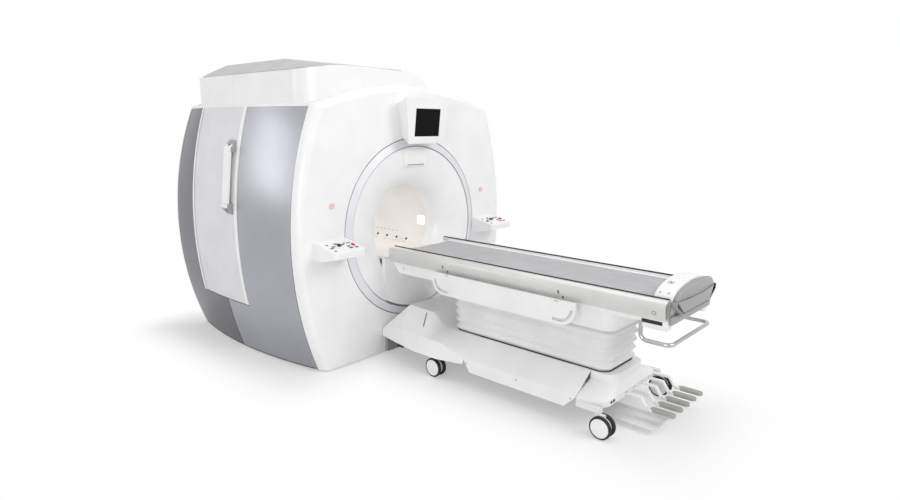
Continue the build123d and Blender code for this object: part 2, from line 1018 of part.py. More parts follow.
def make_side_tubes():
    right = along_y(tube_section(), -table_foot, -table_head)
    x, z = rail_axis()
    root = frame_half_width + seam_gap / 2
    for y in (-rail_head - pivot_inset, -rail_foot + pivot_inset):
        half = pivot_length / 2
        right += block(root, x, y - half, y + half, tube_bottom - pivot_web, tube_bottom)
        barrel = Cylinder(pivot_radius, pivot_length)
        rod = Cylinder(pivot_rod_radius + running_gap, pivot_length * 2)
        place = Pos(x, y, z) * Rot(90, 0, 0)
        right += place * barrel
        right -= place * rod
    return Compound(children=[right, mirrored(right)])


def rounded_post(half, head, foot, corner, low, high):
    """An upright prism with rounded corners between the head and foot ends of the table."""
    outline = Pos(0, -(head + foot) / 2, low) * RectangleRounded(2 * half, foot - head, corner)
    return extrude(outline, amount=high - low, dir=(0, 0, 1))


def make_table_frame():
    """Trough under the cradle, raked head bracket, rounded skirt and the two lift rams."""
    wide = frame_half_width
    body = along_x(
        yz(
            [
                (-table_head, cradle_shoulder_height),
                (-table_head, tube_bottom),
                (-table_head - bracket_rake, bracket_bottom),
                (-bracket_foot + bracket_rake, bracket_bottom),
                (-bracket_foot, tail_bottom),
                (-table_foot, tail_bottom + trough_gap),
                (-table_foot, cradle_shoulder_height),
            ]
        ),
        -wide,
        wide,
    )
    section = along_y(
        xz(
            [
                (-wide, bracket_bottom),
                (wide, bracket_bottom),
                (wide, tube_bottom),
                (tube_inner, tube_bottom),
                (tube_inner, cradle_shoulder_height),
                (cradle_half_width, cradle_shoulder_height - trough_gap),
                (cradle_bottom_half, cradle_bottom - trough_gap),
                (-cradle_bottom_half, cradle_bottom - trough_gap),
                (-cradle_half_width, cradle_shoulder_height - trough_gap),
                (-tube_inner, cradle_shoulder_height),
                (-tube_inner, tube_bottom),
                (-wide, tube_bottom),
            ]
        ),
        -table_foot,
        -table_head,
    )
    frame = body & section
    under = cradle_bottom - trough_gap - trough_floor
    skin = trough_floor
    frame += rounded_post(
        skirt_half_width, skirt_head, skirt_foot, skirt_corner, skirt_bottom, tail_bottom + skin
    )
    frame -= rounded_post(
        skirt_half_width - skin, skirt_head + skin, skirt_foot - skin, skirt_corner - skin, 0, under
    )
    head_half = wide - skin
    head_end = -table_head - bracket_rake - skin
    frame -= block(-head_half, head_half, -bracket_foot + bracket_rake + skin, head_end, 0, under)
    ram_bottom = spine_top + lift_stroke + ram_clearance
    for y in column_places():
        half_w = column_width / 2 - column_wall - column_gap
        half_d = column_depth / 2 - column_wall - column_gap
        frame += block(-half_w, half_w, y - half_d, y + half_d, ram_bottom, under + skin / 2)
    return frame


def column_places():
    return (-column_centre - column_spacing / 2, -column_centre + column_spacing / 2)


def cradle_section(top_points):
    """Closed outline of the cradle: flat keel, sloping bilges, upright sides and a given top."""
    return xz(
        [
            (-cradle_bottom_half, cradle_bottom),
            (cradle_bottom_half, cradle_bottom),
            (cradle_half_width, cradle_shoulder_height),
        ]
        + top_points
        + [(-cradle_half_width, cradle_shoulder_height)]
    )


def dish_arc(half, edge, middle):
    """Dished line across the cradle: heights at its edges and in the middle."""
    return ThreePointArc((half, 0, edge), (0, 0, middle), (-half, 0, edge))


def make_cradle():
    top = [(cradle_half_width, cradle_top), (-cradle_half_width, cradle_top)]
    tray = along_y(cradle_section(top), -cradle_foot, -cradle_head)
    half = cradle_half_width - cradle_rim
    edge = cradle_top - pad_crown
    dish = dish_arc(half, edge, cradle_bottom + cradle_floor)
    high = cradle_top + overrun
    hollow = along_y(
        [dish, Polyline((-half, 0, edge), (-half, 0, high), (half, 0, high), (half, 0, edge))],
        -cradle_foot - overrun,
        -cradle_head + overrun,
    )
    return tray - hollow


def dish_filler(top_edge, top_middle, y0, y1):
    """Body that lies in the cradle's dish, with its own top line."""
    half = cradle_half_width - cradle_rim - touch_gap
    edge = cradle_top - pad_crown + touch_gap
    low = dish_arc(half, edge, cradle_bottom + cradle_floor + touch_gap)
    high = dish_arc(half, top_edge, top_middle)
    return along_y([low, Line(low @ 1, high @ 1), high, Line(high @ 0, low @ 0)], y0, y1)


def make_pad():
    edge = cradle_top - pad_crown / 2
    return dish_filler(edge, cradle_top - pad_crown * 2, -foot_box_head + touch_gap, -cradle_head)


def make_foot_box():
    """Raised white box across the foot end of the cradle."""
    body = along_y(
        xz(
            [
                (-cradle_half_width, cradle_top + touch_gap),
                (cradle_half_width, cradle_top + touch_gap),
                (foot_box_top_half, foot_box_top),
                (-foot_box_top_half, foot_box_top),
            ]
        ),
        -cradle_foot,
        -foot_box_head,
    )
    slope = along_x(
        yz(
            [
                (-foot_box_head, cradle_bottom),
                (-foot_box_head, cradle_top),
                (-foot_box_head - foot_box_slope, foot_box_top),
                (-cradle_foot, foot_box_top),
                (-cradle_foot, cradle_bottom),
            ]
        ),
        -cradle_half_width,
        cradle_half_width,
    )
    plug = dish_filler(cradle_top + pad_crown / 2, cradle_top + pad_crown, -cradle_foot, -foot_box_head)
    return (body + plug) & slope


def make_end_cap():
    """Grey cap that closes the cradle's foot end, bowed outward."""
    top = [
        (cradle_half_width, cradle_top),
        (foot_box_top_half, end_cap_top),
        (-foot_box_top_half, end_cap_top),
        (-cradle_half_width, cradle_top),
    ]
    body = along_y(cradle_section(top), -end_cap_foot, -cradle_foot)
    drop = end_cap_foot - cradle_foot
    profile = along_x(
        yz(
            [
                (-cradle_foot, cradle_bottom),
                (-cradle_foot - drop * cap_bow_shares[0], cradle_bottom),
                (-end_cap_foot, cradle_shoulder_height),
                (-end_cap_foot + drop * cap_bow_shares[1], end_cap_top),
                (-cradle_foot, end_cap_top),
            ]
        ),
        -cradle_half_width,
        cradle_half_width,
    )
    return body & profile


def make_side_rail():
    """Right side rail: a panel with a hand loop at each end, on two pivot pins."""
    top = tube_bottom + rail_gap
    head, foot = -rail_head, -rail_foot
    turn = rail_corner
    inner = tube_outer + rail_gap
    panel = block(inner, inner + rail_thickness, foot, head, rail_bottom, top)
    low_edges = panel.edges().filter_by(Axis.X).sort_by(Axis.Z)[:2]
    panel = fillet(low_edges, rail_corner)
    outer_r, inner_r = turn - rail_loop_width, turn - rail_loop_width - rail_slot_width
    for y, side in ((head - turn, 1), (foot + turn, -1)):
        middle = Pos(inner, y, rail_bottom + turn) * Rot(0, 90, 0)
        long = rail_thickness * 3
        loop = middle * (Cylinder(outer_r, long) - Cylinder(inner_r, long * 2))
        y_far = y + side * turn
        quadrant = block(0, inner * 2, min(y, y_far), max(y, y_far), 0, rail_bottom + turn)
        slot = loop & quadrant
        y_run = y - side * rail_slot_run
        low = rail_bottom + rail_loop_width
        slot += block(inner - long, inner + long, min(y, y_run), max(y, y_run), low, low + rail_slot_width)
        panel -= slot
    x, z = rail_axis()
    for y in (head - pivot_inset, foot + pivot_inset):
        y0, y1 = y - pivot_length / 2 - guide_gap, y + pivot_length / 2 + guide_gap
        low = z - pivot_radius - guide_gap
        panel -= block(inner - overrun, inner + overrun, y0, y1, low, top + overrun)
        panel += Pos(x, y, z) * Rot(90, 0, 0) * Cylinder(pivot_rod_radius, pivot_length + pivot_radius)
    return panel


def rail_axis():
    """Pivot line of the right side rail."""
    return tube_outer + rail_gap + rail_thickness / 2, tube_bottom + rail_gap - rail_lip


def make_push_handle():
    """Bent tube under the foot end of the table."""
    half = handle_half_width
    y0, y1 = -handle_leg_y, -handle_reach
    low = handle_drop_height
    top = tail_bottom
    path = FilletPolyline(
        (-half, y0, top),
        (-half, y0, low),
        (-half, y1, low),
        (half, y1, low),
        (half, y0, low),
        (half, y0, top),
        radius=handle_bend,
    )
    section = Plane(path @ 0, z_dir=path % 0) * Circle(handle_tube_radius)
    return sweep(section, path=path)


def make_bellows():
    """Folded skirt between the base and the table top, open inside for the lift."""
    length = bellows_foot - bellows_head
    middle = -(bellows_foot + bellows_head) / 2
    step = (skirt_bottom - base_top) / (2 * fold_count)
    sections = []
    for number in range(2 * fold_count + 1):
        inset = fold_depth if number % 2 == 0 else 0
        inset -= bellows_spread * number / (2 * fold_count)
        outline = RectangleRounded(
            2 * (bellows_half_width - inset), length - 2 * inset, bellows_corner - inset / 2
        )
        sections.append(Pos(0, middle, base_top + step * number) * outline)
    skin = loft(sections, ruled=True)
    inset = bellows_wall_inset
    room = rounded_post(
        bellows_half_width - inset,
        bellows_head + inset,
        bellows_foot - inset,
        bellows_corner - inset,
        0,
        skirt_bottom + overrun,
    )
    return skin - room


# Table base
def base_section(y, foot, shoulder, shoulder_height, top, top_height):
    """Six-cornered section of the base shell at one place along the table."""
    points = [
        (-foot, base_bottom),
        (foot, base_bottom),
        (shoulder, shoulder_height),
        (top, top_height),
        (-top, top_height),
        (-shoulder, shoulder_height),
    ]
    return make_face(Polyline([(x, y, z) for x, z in points], close=True))


def hood_sections(wall):
    """Hood sections from nose to side panels, shrunk by a wall."""
    nose_foot, arch = hood_nose_half, hood_arch_half
    shoulder, rise = hood_shoulder_half, hood_shoulder
    nose_rise = hood_nose_height - base_wall
    rows = [
        (-hood_front - wall, nose_foot, nose_foot, nose_rise, nose_foot - base_wall, hood_nose_height),
        (-hood_brow, (nose_foot + arch) / 2, nose_foot, rise, hood_brow_half, hood_brow_height),
        (-hood_back, arch, shoulder, rise, hood_back_half, hood_back_height),
        (-hood_ledge, arch, shoulder, rise, base_top_half, base_top),
        (-hood_turn, arch, shoulder, rise, base_top_half, base_top),
        (-side_front, base_foot_half, base_shoulder_half, base_shoulder, base_top_half, base_top),
    ]
    return [
        base_section(y, foot - wall, side - wall, side_z - wall, top - wall, top_z - wall)
        for y, foot, side, side_z, top, top_z in rows
    ]


def make_hood():
    return loft(hood_sections(0), ruled=True) - loft(hood_sections(base_wall), ruled=True)


def side_line(inset):
    """Outer line of the base side panel from foot to top, moved inward."""
    return [
        (base_foot_half - inset, side_bottom),
        (base_shoulder_half - inset, base_shoulder),
        (base_top_half - inset, base_top),
    ]


def make_base_side():
    """Right side panel of the base, with cut corners at its lower edge."""
    section = side_line(0) + side_line(base_wall)[::-1]
    panel = along_y(xz(section), -side_rear, -side_front - touch_gap)
    cut = side_corner
    shape = along_x(
        yz(
            [
                (-side_front, side_bottom + cut),
                (-side_front, base_top),
                (-side_rear, base_top),
                (-side_rear, side_bottom + cut),
                (-side_rear + cut, side_bottom),
                (-side_front - cut, side_bottom),
            ]
        ),
        0,
        base_foot_half,
    )
    return panel & shape


def rear_tiers(wall, drop):
    """Apron, sloping ledge and collar of the rear cover, shrunk by a wall and open below."""
    rows = [
        (apron_half_width, apron_end, apron_corner, apron_bottom - drop),
        (apron_half_width, apron_end, apron_corner, apron_top - wall),
        (base_top_half, collar_end, collar_corner, collar_foot - wall),
        (base_top_half, collar_end, collar_corner, base_top - wall),
    ]
    sections = []
    for half, end, corner, height in rows:
        length = end - side_front - wall
        outline = RectangleRounded(2 * (half - wall), length, corner - wall)
        sections.append(Pos(0, -side_front - length / 2, height) * outline)
    return loft(sections, ruled=True)


def make_rear_cover():
    """Rear shell of the base: apron, ledge and collar with rounded corners, slots for the pedals."""
    shell = rear_tiers(0, 0) - rear_tiers(base_wall, overrun)
    shell &= block(-base_foot_half, base_foot_half, -apron_end, -side_rear - seam_gap, 0, base_top)
    slot_half = pedal_hub_width / 2 + guide_gap * 5
    slot_end = -pedal_pivot_y + pedal_hub_radius + touch_gap
    for number in range(pedal_count):
        x = pedal_first + pedal_pitch * number
        shell -= block(x - slot_half, x + slot_half, -apron_end - overrun, slot_end, 0, slot_height)
    rear_beam = -caster_rear + beam_depth * 2
    reach = caster_x + boss_radius
    half = beam_depth / 2 + touch_gap
    shell -= block(-reach, reach, rear_beam - half, rear_beam + half, 0, beam_top + touch_gap)
    inner = apron_half_width - base_wall * 2
    shell -= block(
        inner, reach, -pedal_pivot_y - pedal_hub_radius - touch_gap, rear_beam, 0,
        pedal_pivot_height + pedal_hub_radius + touch_gap,
    )
    return Compound(children=[shell, make_guard()])


def make_chassis():
    """Spine with caster arms, lift columns, dock arms and the pedal rod."""
    rear_beam = -caster_rear + beam_depth * 2
    frame = block(
        -spine_half_width, spine_half_width, rear_beam, -dock_arm_front, spine_bottom, spine_top
    )
    beam_half = caster_x + boss_radius
    for y in (-caster_front, rear_beam):
        y0, y1 = y - beam_depth / 2, y + beam_depth / 2
        frame += block(-beam_half, beam_half, y0, y1, beam_bottom, beam_top)
    for side in (-1, 1):
        x0, x1 = side * caster_x - boss_radius, side * caster_x + boss_radius
        frame += block(x0, x1, -caster_rear - boss_radius, rear_beam, beam_bottom, beam_top)
        arm_x = side * dock_pin_x
        half = dock_pin_radius * 2
        frame += block(
            arm_x - half, arm_x + half, -dock_arm_front - dock_arm_depth, -dock_arm_front,
            dock_pin_height - half, spine_bottom,
        )
        frame += block(
            min(arm_x, 0), max(arm_x, 0), -dock_arm_front - dock_arm_depth, -dock_arm_front,
            spine_bottom - half / 2, spine_bottom + half / 2,
        )
        reach = dock_arm_front - magnet_half_depth - dock_clearance / 2
        pin = Cylinder(dock_pin_radius, reach, align=(Align.CENTER, Align.CENTER, Align.MIN))
        frame += Pos(arm_x, -dock_arm_front, dock_pin_height) * Rot(-90, 0, 0) * pin
    deck_half = base_top_half - base_wall - touch_gap
    deck = block(
        -deck_half, deck_half, -side_rear, -side_front - touch_gap, base_top - base_wall, base_top
    )
    frame += deck
    for y in column_places():
        w, d = column_width / 2, column_depth / 2
        wall = column_wall
        frame += block(-w, w, y - d, y + d, spine_top, column_top)
        frame -= block(-w + wall, w - wall, y - d + wall, y + d - wall, spine_top, column_top + overrun)
    first = pedal_first - pedal_pitch / 2
    last = pedal_first + pedal_pitch * (pedal_count - 1) + pedal_hub_width
    for x in (first, last):
        frame += block(
            x - lever_thickness / 2, x + lever_thickness / 2, -pedal_pivot_y - pedal_hub_radius,
            rear_beam, beam_bottom, pedal_pivot_height + pedal_hub_radius,
        )
    rod = Cylinder(pedal_rod_radius, last - first)
    frame += Pos((first + last) / 2, -pedal_pivot_y, pedal_pivot_height) * Rot(0, 90, 0) * rod
    for x in (-caster_x, caster_x):
        for y in (-caster_front, -caster_rear):
            frame -= Pos(x, y, beam_bottom) * Cylinder(stem_radius + running_gap, stem_top)
    return frame


def make_guard():
    """White guard plate under the pedals, hung from the rear beam."""
    rear_beam = -caster_rear + beam_depth * 2
    half = pedal_pitch
    low, high = guard_height, guard_height + guard_thickness
    plate = block(pedal_first - half, pedal_first + half, -guard_foot, rear_beam, low, high)
    drop_foot = rear_beam - guard_thickness
    drop = block(pedal_first - half, pedal_first + half, drop_foot, rear_beam, low, beam_bottom)
    return plate + drop


# Casters
def make_fork(x, y):
    """Hood between the twin wheels, with the swivel stem on top."""
    axle_y = y - caster_trail
    hood = Pos(x, axle_y, wheel_radius) * Rot(0, 90, 0) * Cylinder(fork_radius, fork_width)
    plate_low = wheel_radius * 2 + fork_plate_gap
    half = fork_width / 2
    hood += block(x - half, x + half, axle_y - half, y + boss_radius, wheel_radius, plate_low)
    top = fork_top - plate_low
    hood += Pos(x, y, plate_low + top / 2) * Cylinder(boss_radius, top)
    stem = stem_top - fork_top
    hood += Pos(x, y, fork_top + stem / 2) * Cylinder(stem_radius, stem)
    bore = Cylinder(axle_radius + running_gap, fork_width * 2)
    return hood - Pos(x, axle_y, wheel_radius) * Rot(0, 90, 0) * bore


def make_wheels(x, y):
    """Twin wheels on one axle."""
    offset = fork_width / 2 + fork_gap + wheel_width / 2
    pair = Cylinder(axle_radius, offset * 2)
    for side in (-1, 1):
        disc = Cylinder(wheel_radius, wheel_width)
        disc = fillet(disc.edges().filter_by(GeomType.CIRCLE), wheel_round)
        dish = Pos(0, 0, side * wheel_width / 2) * Cylinder(hub_radius, hub_recess * 2)
        pair += Pos(0, 0, side * offset) * (disc - dish)
    return Pos(x, y - caster_trail, wheel_radius) * Rot(0, 90, 0) * pair


# Foot pedals
def make_pedal(number):
    """Lever on the pivot rod that bends down to a long rounded foot pad."""
    x = pedal_first + pedal_pitch * number
    z = pedal_pivot_height
    t = lever_thickness
    half = lever_width / 2
    lever = along_x(
        yz(
            [
                (-pedal_pivot_y, z - t / 2),
                (-pedal_pivot_y, z + t / 2),
                (-lever_knee, z + t / 2),
                (-lever_ankle, pad_height),
                (-lever_ankle - pad_width / 2, pad_height),
                (-lever_ankle - pad_width / 2, pad_height - t),
                (-lever_ankle + t / 2, pad_height - t),
                (-lever_knee + t / 2, z - t / 2),
            ]
        ),
        x - half,
        x + half,
    )
    hub = Cylinder(pedal_hub_radius, pedal_hub_width)
    lever += Pos(x, -pedal_pivot_y, z) * Rot(0, 90, 0) * hub
    length = pad_end - lever_ankle
    pad = SlotOverall(length, pad_width, rotation=90)
    pad_y = -(pad_end + lever_ankle) / 2
    pad = Pos(x, pad_y, pad_height - pad_thickness / 2) * extrude(pad, amount=pad_thickness)
    lever += pad
    rod = Cylinder(pedal_rod_radius + running_gap, pedal_hub_width * 2)
    return lever - Pos(x, -pedal_pivot_y, z) * Rot(0, 90, 0) * rod


def build():
    """All nodes by name."""
    front_panel, door_panel, rear_panel = make_side_panels()
    handle = make_handle()
    front_cover = make_front_cover()
    rear_cover = mirror(front_cover, about=Plane.XZ)
    for x in (-stop_button_x, stop_button_x):
        front_cover -= stop_button_well(x)
    rail, base_side = make_side_rail(), make_base_side()
    nodes = {
        "magnet_base": make_magnet_base(),
        "cryostat_vessel": make_vessel(),
        "coil_set": make_coil_set(),
        "gradient_coil": make_gradient_coil(),
        "cold_head": make_cold_head(),
        "bore_liner": make_liner(),
        "cover_frame": make_cover_frame(),
        "front_cover": front_cover,
        "rear_cover": rear_cover,
        "front_flare": make_flare(True),
        "rear_flare": mirror(make_flare(False), about=Plane.XZ),
        "ring_band": make_ring_band(),
        "front_panels": Compound(children=[front_panel, mirrored(front_panel)]),
        "door_panels": Compound(children=[door_panel, mirrored(door_panel)]),
        "rear_panels": Compound(children=[rear_panel, mirrored(rear_panel)]),
        "panel_handles": Compound(children=[handle, mirrored(handle)]),
        "top_cover": make_top_cover(),
        "crown": make_crown(),
        "roof": make_roof(),
        "screen_housing": make_screen_housing(),
        "screen": make_screen(),
        "light_box": make_light_box(),
        "bridge": make_bridge(),
        "pedestal": make_pedestal(),
        "dock_block": make_dock_block(),
        "base_chassis": make_chassis(),
        "base_hood": make_hood(),
        "base_sides": Compound(children=[mirrored(base_side), base_side]),
        "base_rear_cover": make_rear_cover(),
        "bellows": make_bellows(),
        "table_frame": make_table_frame(),
        "side_tubes": make_side_tubes(),
        "side_rail_left": mirrored(rail),
        "side_rail_right": rail,
        "push_handle": make_push_handle(),
        "cradle": make_cradle(),
        "cradle_pad": make_pad(),
        "foot_box": make_foot_box(),
        "end_cap": make_end_cap(),
    }
    for side, sign in (("left", -1), ("right", 1)):
        centre = sign * console_centre
        nodes["console_" + side] = make_console(centre)
        nodes["dial_" + side] = make_dial(centre)
        nodes["stop_key_" + side] = make_stop_key(centre)
        nodes["stop_button_" + side] = make_stop_button(sign * stop_button_x)
        for end, y in (("front", -caster_front), ("rear", -caster_rear)):
            nodes["fork_" + end + "_" + side] = make_fork(sign * caster_x, y)
            nodes["wheels_" + end + "_" + side] = make_wheels(sign * caster_x, y)
    for number in range(pedal_count):
        nodes["pedal_" + str(number + 1)] = make_pedal(number)
    return nodes


os.makedirs("parts", exist_ok=True)
for name, shape in build().items():
    export_step(shape, "parts/" + name + ".step")
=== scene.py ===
import math

import bmesh
import bpy
from mathutils import Matrix, Vector


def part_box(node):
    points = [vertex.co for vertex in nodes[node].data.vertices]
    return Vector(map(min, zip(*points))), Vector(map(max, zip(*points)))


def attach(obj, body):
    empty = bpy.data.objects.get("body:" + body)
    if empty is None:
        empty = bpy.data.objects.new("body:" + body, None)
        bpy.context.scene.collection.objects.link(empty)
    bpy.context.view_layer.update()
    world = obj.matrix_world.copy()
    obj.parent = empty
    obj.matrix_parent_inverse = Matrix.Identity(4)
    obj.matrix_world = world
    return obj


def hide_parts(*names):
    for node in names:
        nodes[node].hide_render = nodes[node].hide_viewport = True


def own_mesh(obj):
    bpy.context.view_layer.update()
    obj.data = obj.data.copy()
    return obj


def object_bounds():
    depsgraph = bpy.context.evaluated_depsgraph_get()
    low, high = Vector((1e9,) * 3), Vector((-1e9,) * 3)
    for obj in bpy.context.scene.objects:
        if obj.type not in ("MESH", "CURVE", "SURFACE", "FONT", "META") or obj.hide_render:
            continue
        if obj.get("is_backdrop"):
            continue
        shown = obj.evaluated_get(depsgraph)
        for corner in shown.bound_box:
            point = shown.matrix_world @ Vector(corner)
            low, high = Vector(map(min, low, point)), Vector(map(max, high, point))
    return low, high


# Lengths are metres in the part's frame: x to the right, y from the table's foot to the magnet's back, z up
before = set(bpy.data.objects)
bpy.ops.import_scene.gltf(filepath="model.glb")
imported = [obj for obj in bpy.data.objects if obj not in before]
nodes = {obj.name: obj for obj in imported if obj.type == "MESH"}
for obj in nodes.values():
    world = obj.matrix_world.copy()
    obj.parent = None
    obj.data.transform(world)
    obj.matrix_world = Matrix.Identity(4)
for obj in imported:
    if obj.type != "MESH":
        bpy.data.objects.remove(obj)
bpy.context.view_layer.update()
scene = bpy.context.scene
SIDES = (("left", -1), ("right", 1))
UP = Vector((0, 0, 1))
MM_PER_M = 1000

# Slack for points that are one point, in new pieces and in the solids' meshes, for edges that are level,
# and how much of its normal a level face turns up or down
SAME_POINT, SAME_SOLID_POINT, LEVEL = 1e-6, 1e-5, 1e-4
LEVEL_FACE = 0.9


def limits_of(node):
    """Low and high corner of a solid's box."""
    return tuple(Vector(corner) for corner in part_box(node))


# Finishes: where the clouds' two shades begin and end, the glossiest skin, and the depth of the relief
cloud_shares = (0.3, 0.7)
least_roughness = 0.02
relief_depth = 0.0005


# Materials
def linear(code):
    """Linear colour from an sRGB hex code."""
    values = [int(code[i : i + 2], 16) / 255 for i in (1, 3, 5)]
    flat = [v / 12.92 if v <= 0.04045 else ((v + 0.055) / 1.055) ** 2.4 for v in values]
    return (*flat, 1)


def add(tree, kind, settings=(), links=()):
    """Adds a shader node with its settings and links."""
    made = tree.nodes.new(kind)
    for key, value in dict(settings).items():
        if isinstance(key, str) and hasattr(made, key):
            setattr(made, key, value)
        else:
            made.inputs[key].default_value = value
    for key, source in dict(links).items():
        tree.links.new(source, made.inputs[key])
    return made


def surface(
    name, dark, pale, rough, metal=0.0, cloud_mm=240, grain_mm=2.0, bump=0.04, coat=0.0, glow=0.0, vary=0.05
):
    """A finish whose colour clouds between two shades, with an uneven gloss and a fine relief.

    The grain of real paint, plastic, vinyl and rubber is well under a millimetre. It is drawn coarser than
    that, at 2 to 4 mm, so that it shows from the camera's place.
    """
    made = bpy.data.materials.new(name)
    made.use_nodes = True
    tree = made.node_tree
    shader = tree.nodes["Principled BSDF"]
    place = add(tree, "ShaderNodeTexCoord").outputs["Object"]
    cloud = add(
        tree, "ShaderNodeTexNoise", {"Scale": MM_PER_M / cloud_mm, "Detail": 3.0}, {"Vector": place}
    )
    grain = add(
        tree, "ShaderNodeTexNoise", {"Scale": MM_PER_M / grain_mm, "Detail": 2.0}, {"Vector": place}
    )
    shade = add(tree, "ShaderNodeValToRGB", (), {"Fac": cloud.outputs["Fac"]})
    first, last = shade.color_ramp.elements
    first.position, last.position = cloud_shares
    first.color, last.color = linear(dark), linear(pale)
    gloss = add(
        tree,
        "ShaderNodeMapRange",
        {"To Min": max(least_roughness, rough - vary), "To Max": min(1, rough + vary)},
        {"Value": grain.outputs["Fac"]},
    )
    relief = add(
        tree,
        "ShaderNodeBump",
        {"Strength": bump, "Distance": relief_depth},
        {"Height": grain.outputs["Fac"]},
    )
    tree.links.new(shade.outputs["Color"], shader.inputs["Base Color"])
    tree.links.new(gloss.outputs["Result"], shader.inputs["Roughness"])
    tree.links.new(relief.outputs["Normal"], shader.inputs["Normal"])
    shader.inputs["Metallic"].default_value = metal
    shader.inputs["Coat Weight"].default_value = coat
    shader.inputs["Emission Color"].default_value = linear(pale)
    shader.inputs["Emission Strength"].default_value = glow
    return made


def second_colour(look, split_y, pale):
    """Gives a finish a second colour on the foot's side of a line across the table."""
    tree = look.node_tree
    shader = tree.nodes["Principled BSDF"]
    first = shader.inputs["Base Color"].links[0].from_socket
    place = add(tree, "ShaderNodeTexCoord").outputs["Object"]
    parts = add(tree, "ShaderNodeSeparateXYZ", (), {"Vector": place})
    beyond = add(tree, "ShaderNodeMath", {"operation": "LESS_THAN", 1: split_y}, {0: parts.outputs["Y"]})
    mixed = add(
        tree, "ShaderNodeMixRGB", {"Color2": linear(pale)}, {"Fac": beyond.outputs["Value"], "Color1": first}
    )
    tree.links.new(mixed.outputs["Color"], shader.inputs["Base Color"])


# Gelcoated glass fibre, sprayed in a mould: clean white with a soft sheen over long clouds
gelcoat = surface("gelcoat_glass_fibre", "#F0F0F0", "#F6F6F6", 0.36, coat=0.2)
# Two-pack paint on moulded foam covers: a little greyer and flatter than the gelcoat
cover_paint = surface("painted_foam_cover", "#ECECEC", "#F3F3F3", 0.42)
# Metal-flake lacquer on the barrel-curved walls: mirror-soft, so that it shows a bright upright band
silver_lacquer = surface(
    "metal_flake_lacquer", "#A0A1A7", "#A8A9AF", 0.32, metal=0.9, cloud_mm=600, bump=0.004, vary=0.02
)
# The same metal-flake lacquer on the rear walls with painted shade: darker because the rear wall turns away
# from the light, an even mid grey with a weak shine
rear_lacquer_painted_shade = surface(
    "metal_flake_lacquer_painted_shade", "#66666D", "#707077", 0.34, metal=0.9, cloud_mm=600, bump=0.004, vary=0.02
)
# Satin paint on the lift-off panel: pale grey without flakes
door_paint = surface("satin_grey_paint", "#DCDCDF", "#E4E4E6", 0.42)
# Satin lacquer on the ring round the bore: cool grey, thin and bright
ring_lacquer = surface("satin_ring_lacquer", "#E0E0E6", "#E8E8EE", 0.36, metal=0.1)
# Matt sprayed paint on the lid: mid grey, dull
lid_paint = surface("matt_lid_paint", "#BEBEC0", "#C8C8CA", 0.55)
# Warm-white laminate inside the bore: cream, lightly polished by use
bore_laminate = surface("cream_laminate", "#EAE7E4", "#EFEDEB", 0.4)
# Solid laminate under the cradle's path: a shade deeper cream than the bore
track_laminate = surface("bridge_laminate", "#E6E2DE", "#ECE8E5", 0.4)
# Anti-glare coated glass over a dark screen: black with hardly a reflection
screen_glass = surface("anti_glare_glass", "#050506", "#08080A", 0.35, bump=0.0)
screen_glass.node_tree.nodes["Principled BSDF"].inputs["Specular IOR Level"].default_value = 0.08
# Black powder coat on the floor frame: dull, slightly pebbled
powder_coat = surface("black_powder_coat", "#17181A", "#202124", 0.62, grain_mm=3, bump=0.2)
# Rolled stainless steel of the vessel and screws: grey with a fine grain
vessel_steel = surface("rolled_stainless_steel", "#8E8E8E", "#A2A2A2", 0.35, metal=1.0, grain_mm=3)
# Enamelled copper winding: brown with a metal sheen
winding = surface("enamelled_copper", "#8A5530", "#A36A40", 0.38, metal=1.0, grain_mm=4)
# Mill-finish aluminium of the hidden frames: bright grey, faintly clouded
mill_alloy = surface("mill_aluminium", "#B4B5B5", "#C4C5C5", 0.42, metal=0.9, grain_mm=3)
# Satin anodised aluminium of the side tubes: pale grey, with a long soft highlight
tube_alloy = surface("anodised_aluminium", "#D0CFCD", "#DAD9D7", 0.33, metal=0.35, grain_mm=2)
# Polished stainless tube of the push handle: bright edges and dark underside
bright_tube = surface("polished_stainless_tube", "#B0B0AF", "#BCBCBB", 0.12, metal=1.0, bump=0.01)
# Calendered vinyl over foam: mid grey with a fine leather grain
pad_vinyl = surface("calendered_vinyl", "#A8A8AB", "#B2B2B5", 0.42, cloud_mm=110, grain_mm=3, bump=0.3)
# Moulded grey plastic of the end cap, tail tray, bracket shells and dock: even, half matt
end_plastic = surface("moulded_grey_abs", "#9C9C9C", "#A6A6A6", 0.46, bump=0.08)
# Darker moulded plastic of tube plugs, vents and small caps: mid grey, half matt
tail_plastic = surface("moulded_dark_abs", "#83847F", "#8E8F8A", 0.5, bump=0.08)
# Moulded rubber of the foot pads: warm grey and matt
pad_rubber = surface("moulded_grey_rubber", "#9C9B97", "#AAA9A5", 0.66, grain_mm=3, bump=0.25)
# Coated bellows cloth: pale grey with a soft vinyl gloss on each fold
bellows_cloth = surface("coated_bellows_cloth", "#E2E2E3", "#EAEAEB", 0.36, grain_mm=2, bump=0.12)
# Moulded plastic of the stop keys: a strong red with a soft sheen
red_key = surface("red_moulded_key", "#B7202A", "#C52A32", 0.35)
# Moulded plastic of the buttons in the front cover: a washed-out red with a soft sheen
stop_button = surface("pale_red_button", "#E2C3BB", "#EBD0C9", 0.35)
# Solid rubber tyre: black and dull
tyre_rubber = surface("solid_black_rubber", "#131313", "#1B1B1B", 0.7, grain_mm=3, bump=0.3)
# Moulded plastic of keys, seals and sockets: nearly black, half matt. The same black also paints the shade
# of seams, slots, holes and recesses
black_plastic_and_painted_shade = surface("black_moulded_plastic_and_painted_shade", "#0E0E0F", "#151516", 0.45)
# Frosted lamp window in the bore: lit evenly from behind
lamp_window = surface("frosted_lamp_window", "#FAFAF8", "#FFFFFF", 0.3, glow=1.0)
# Powder coat of the table's chassis: dull black in front as painted shade for the dark under the hood, and
# white like the covers from the rear beam on
white_chassis_from = -2.75
chassis_coat_painted_shade = surface("powder_coat_painted_shade_and_white", "#17181A", "#202124", 0.62, grain_mm=3, bump=0.2)
second_colour(chassis_coat_painted_shade, white_chassis_from, "#E6E6E6")

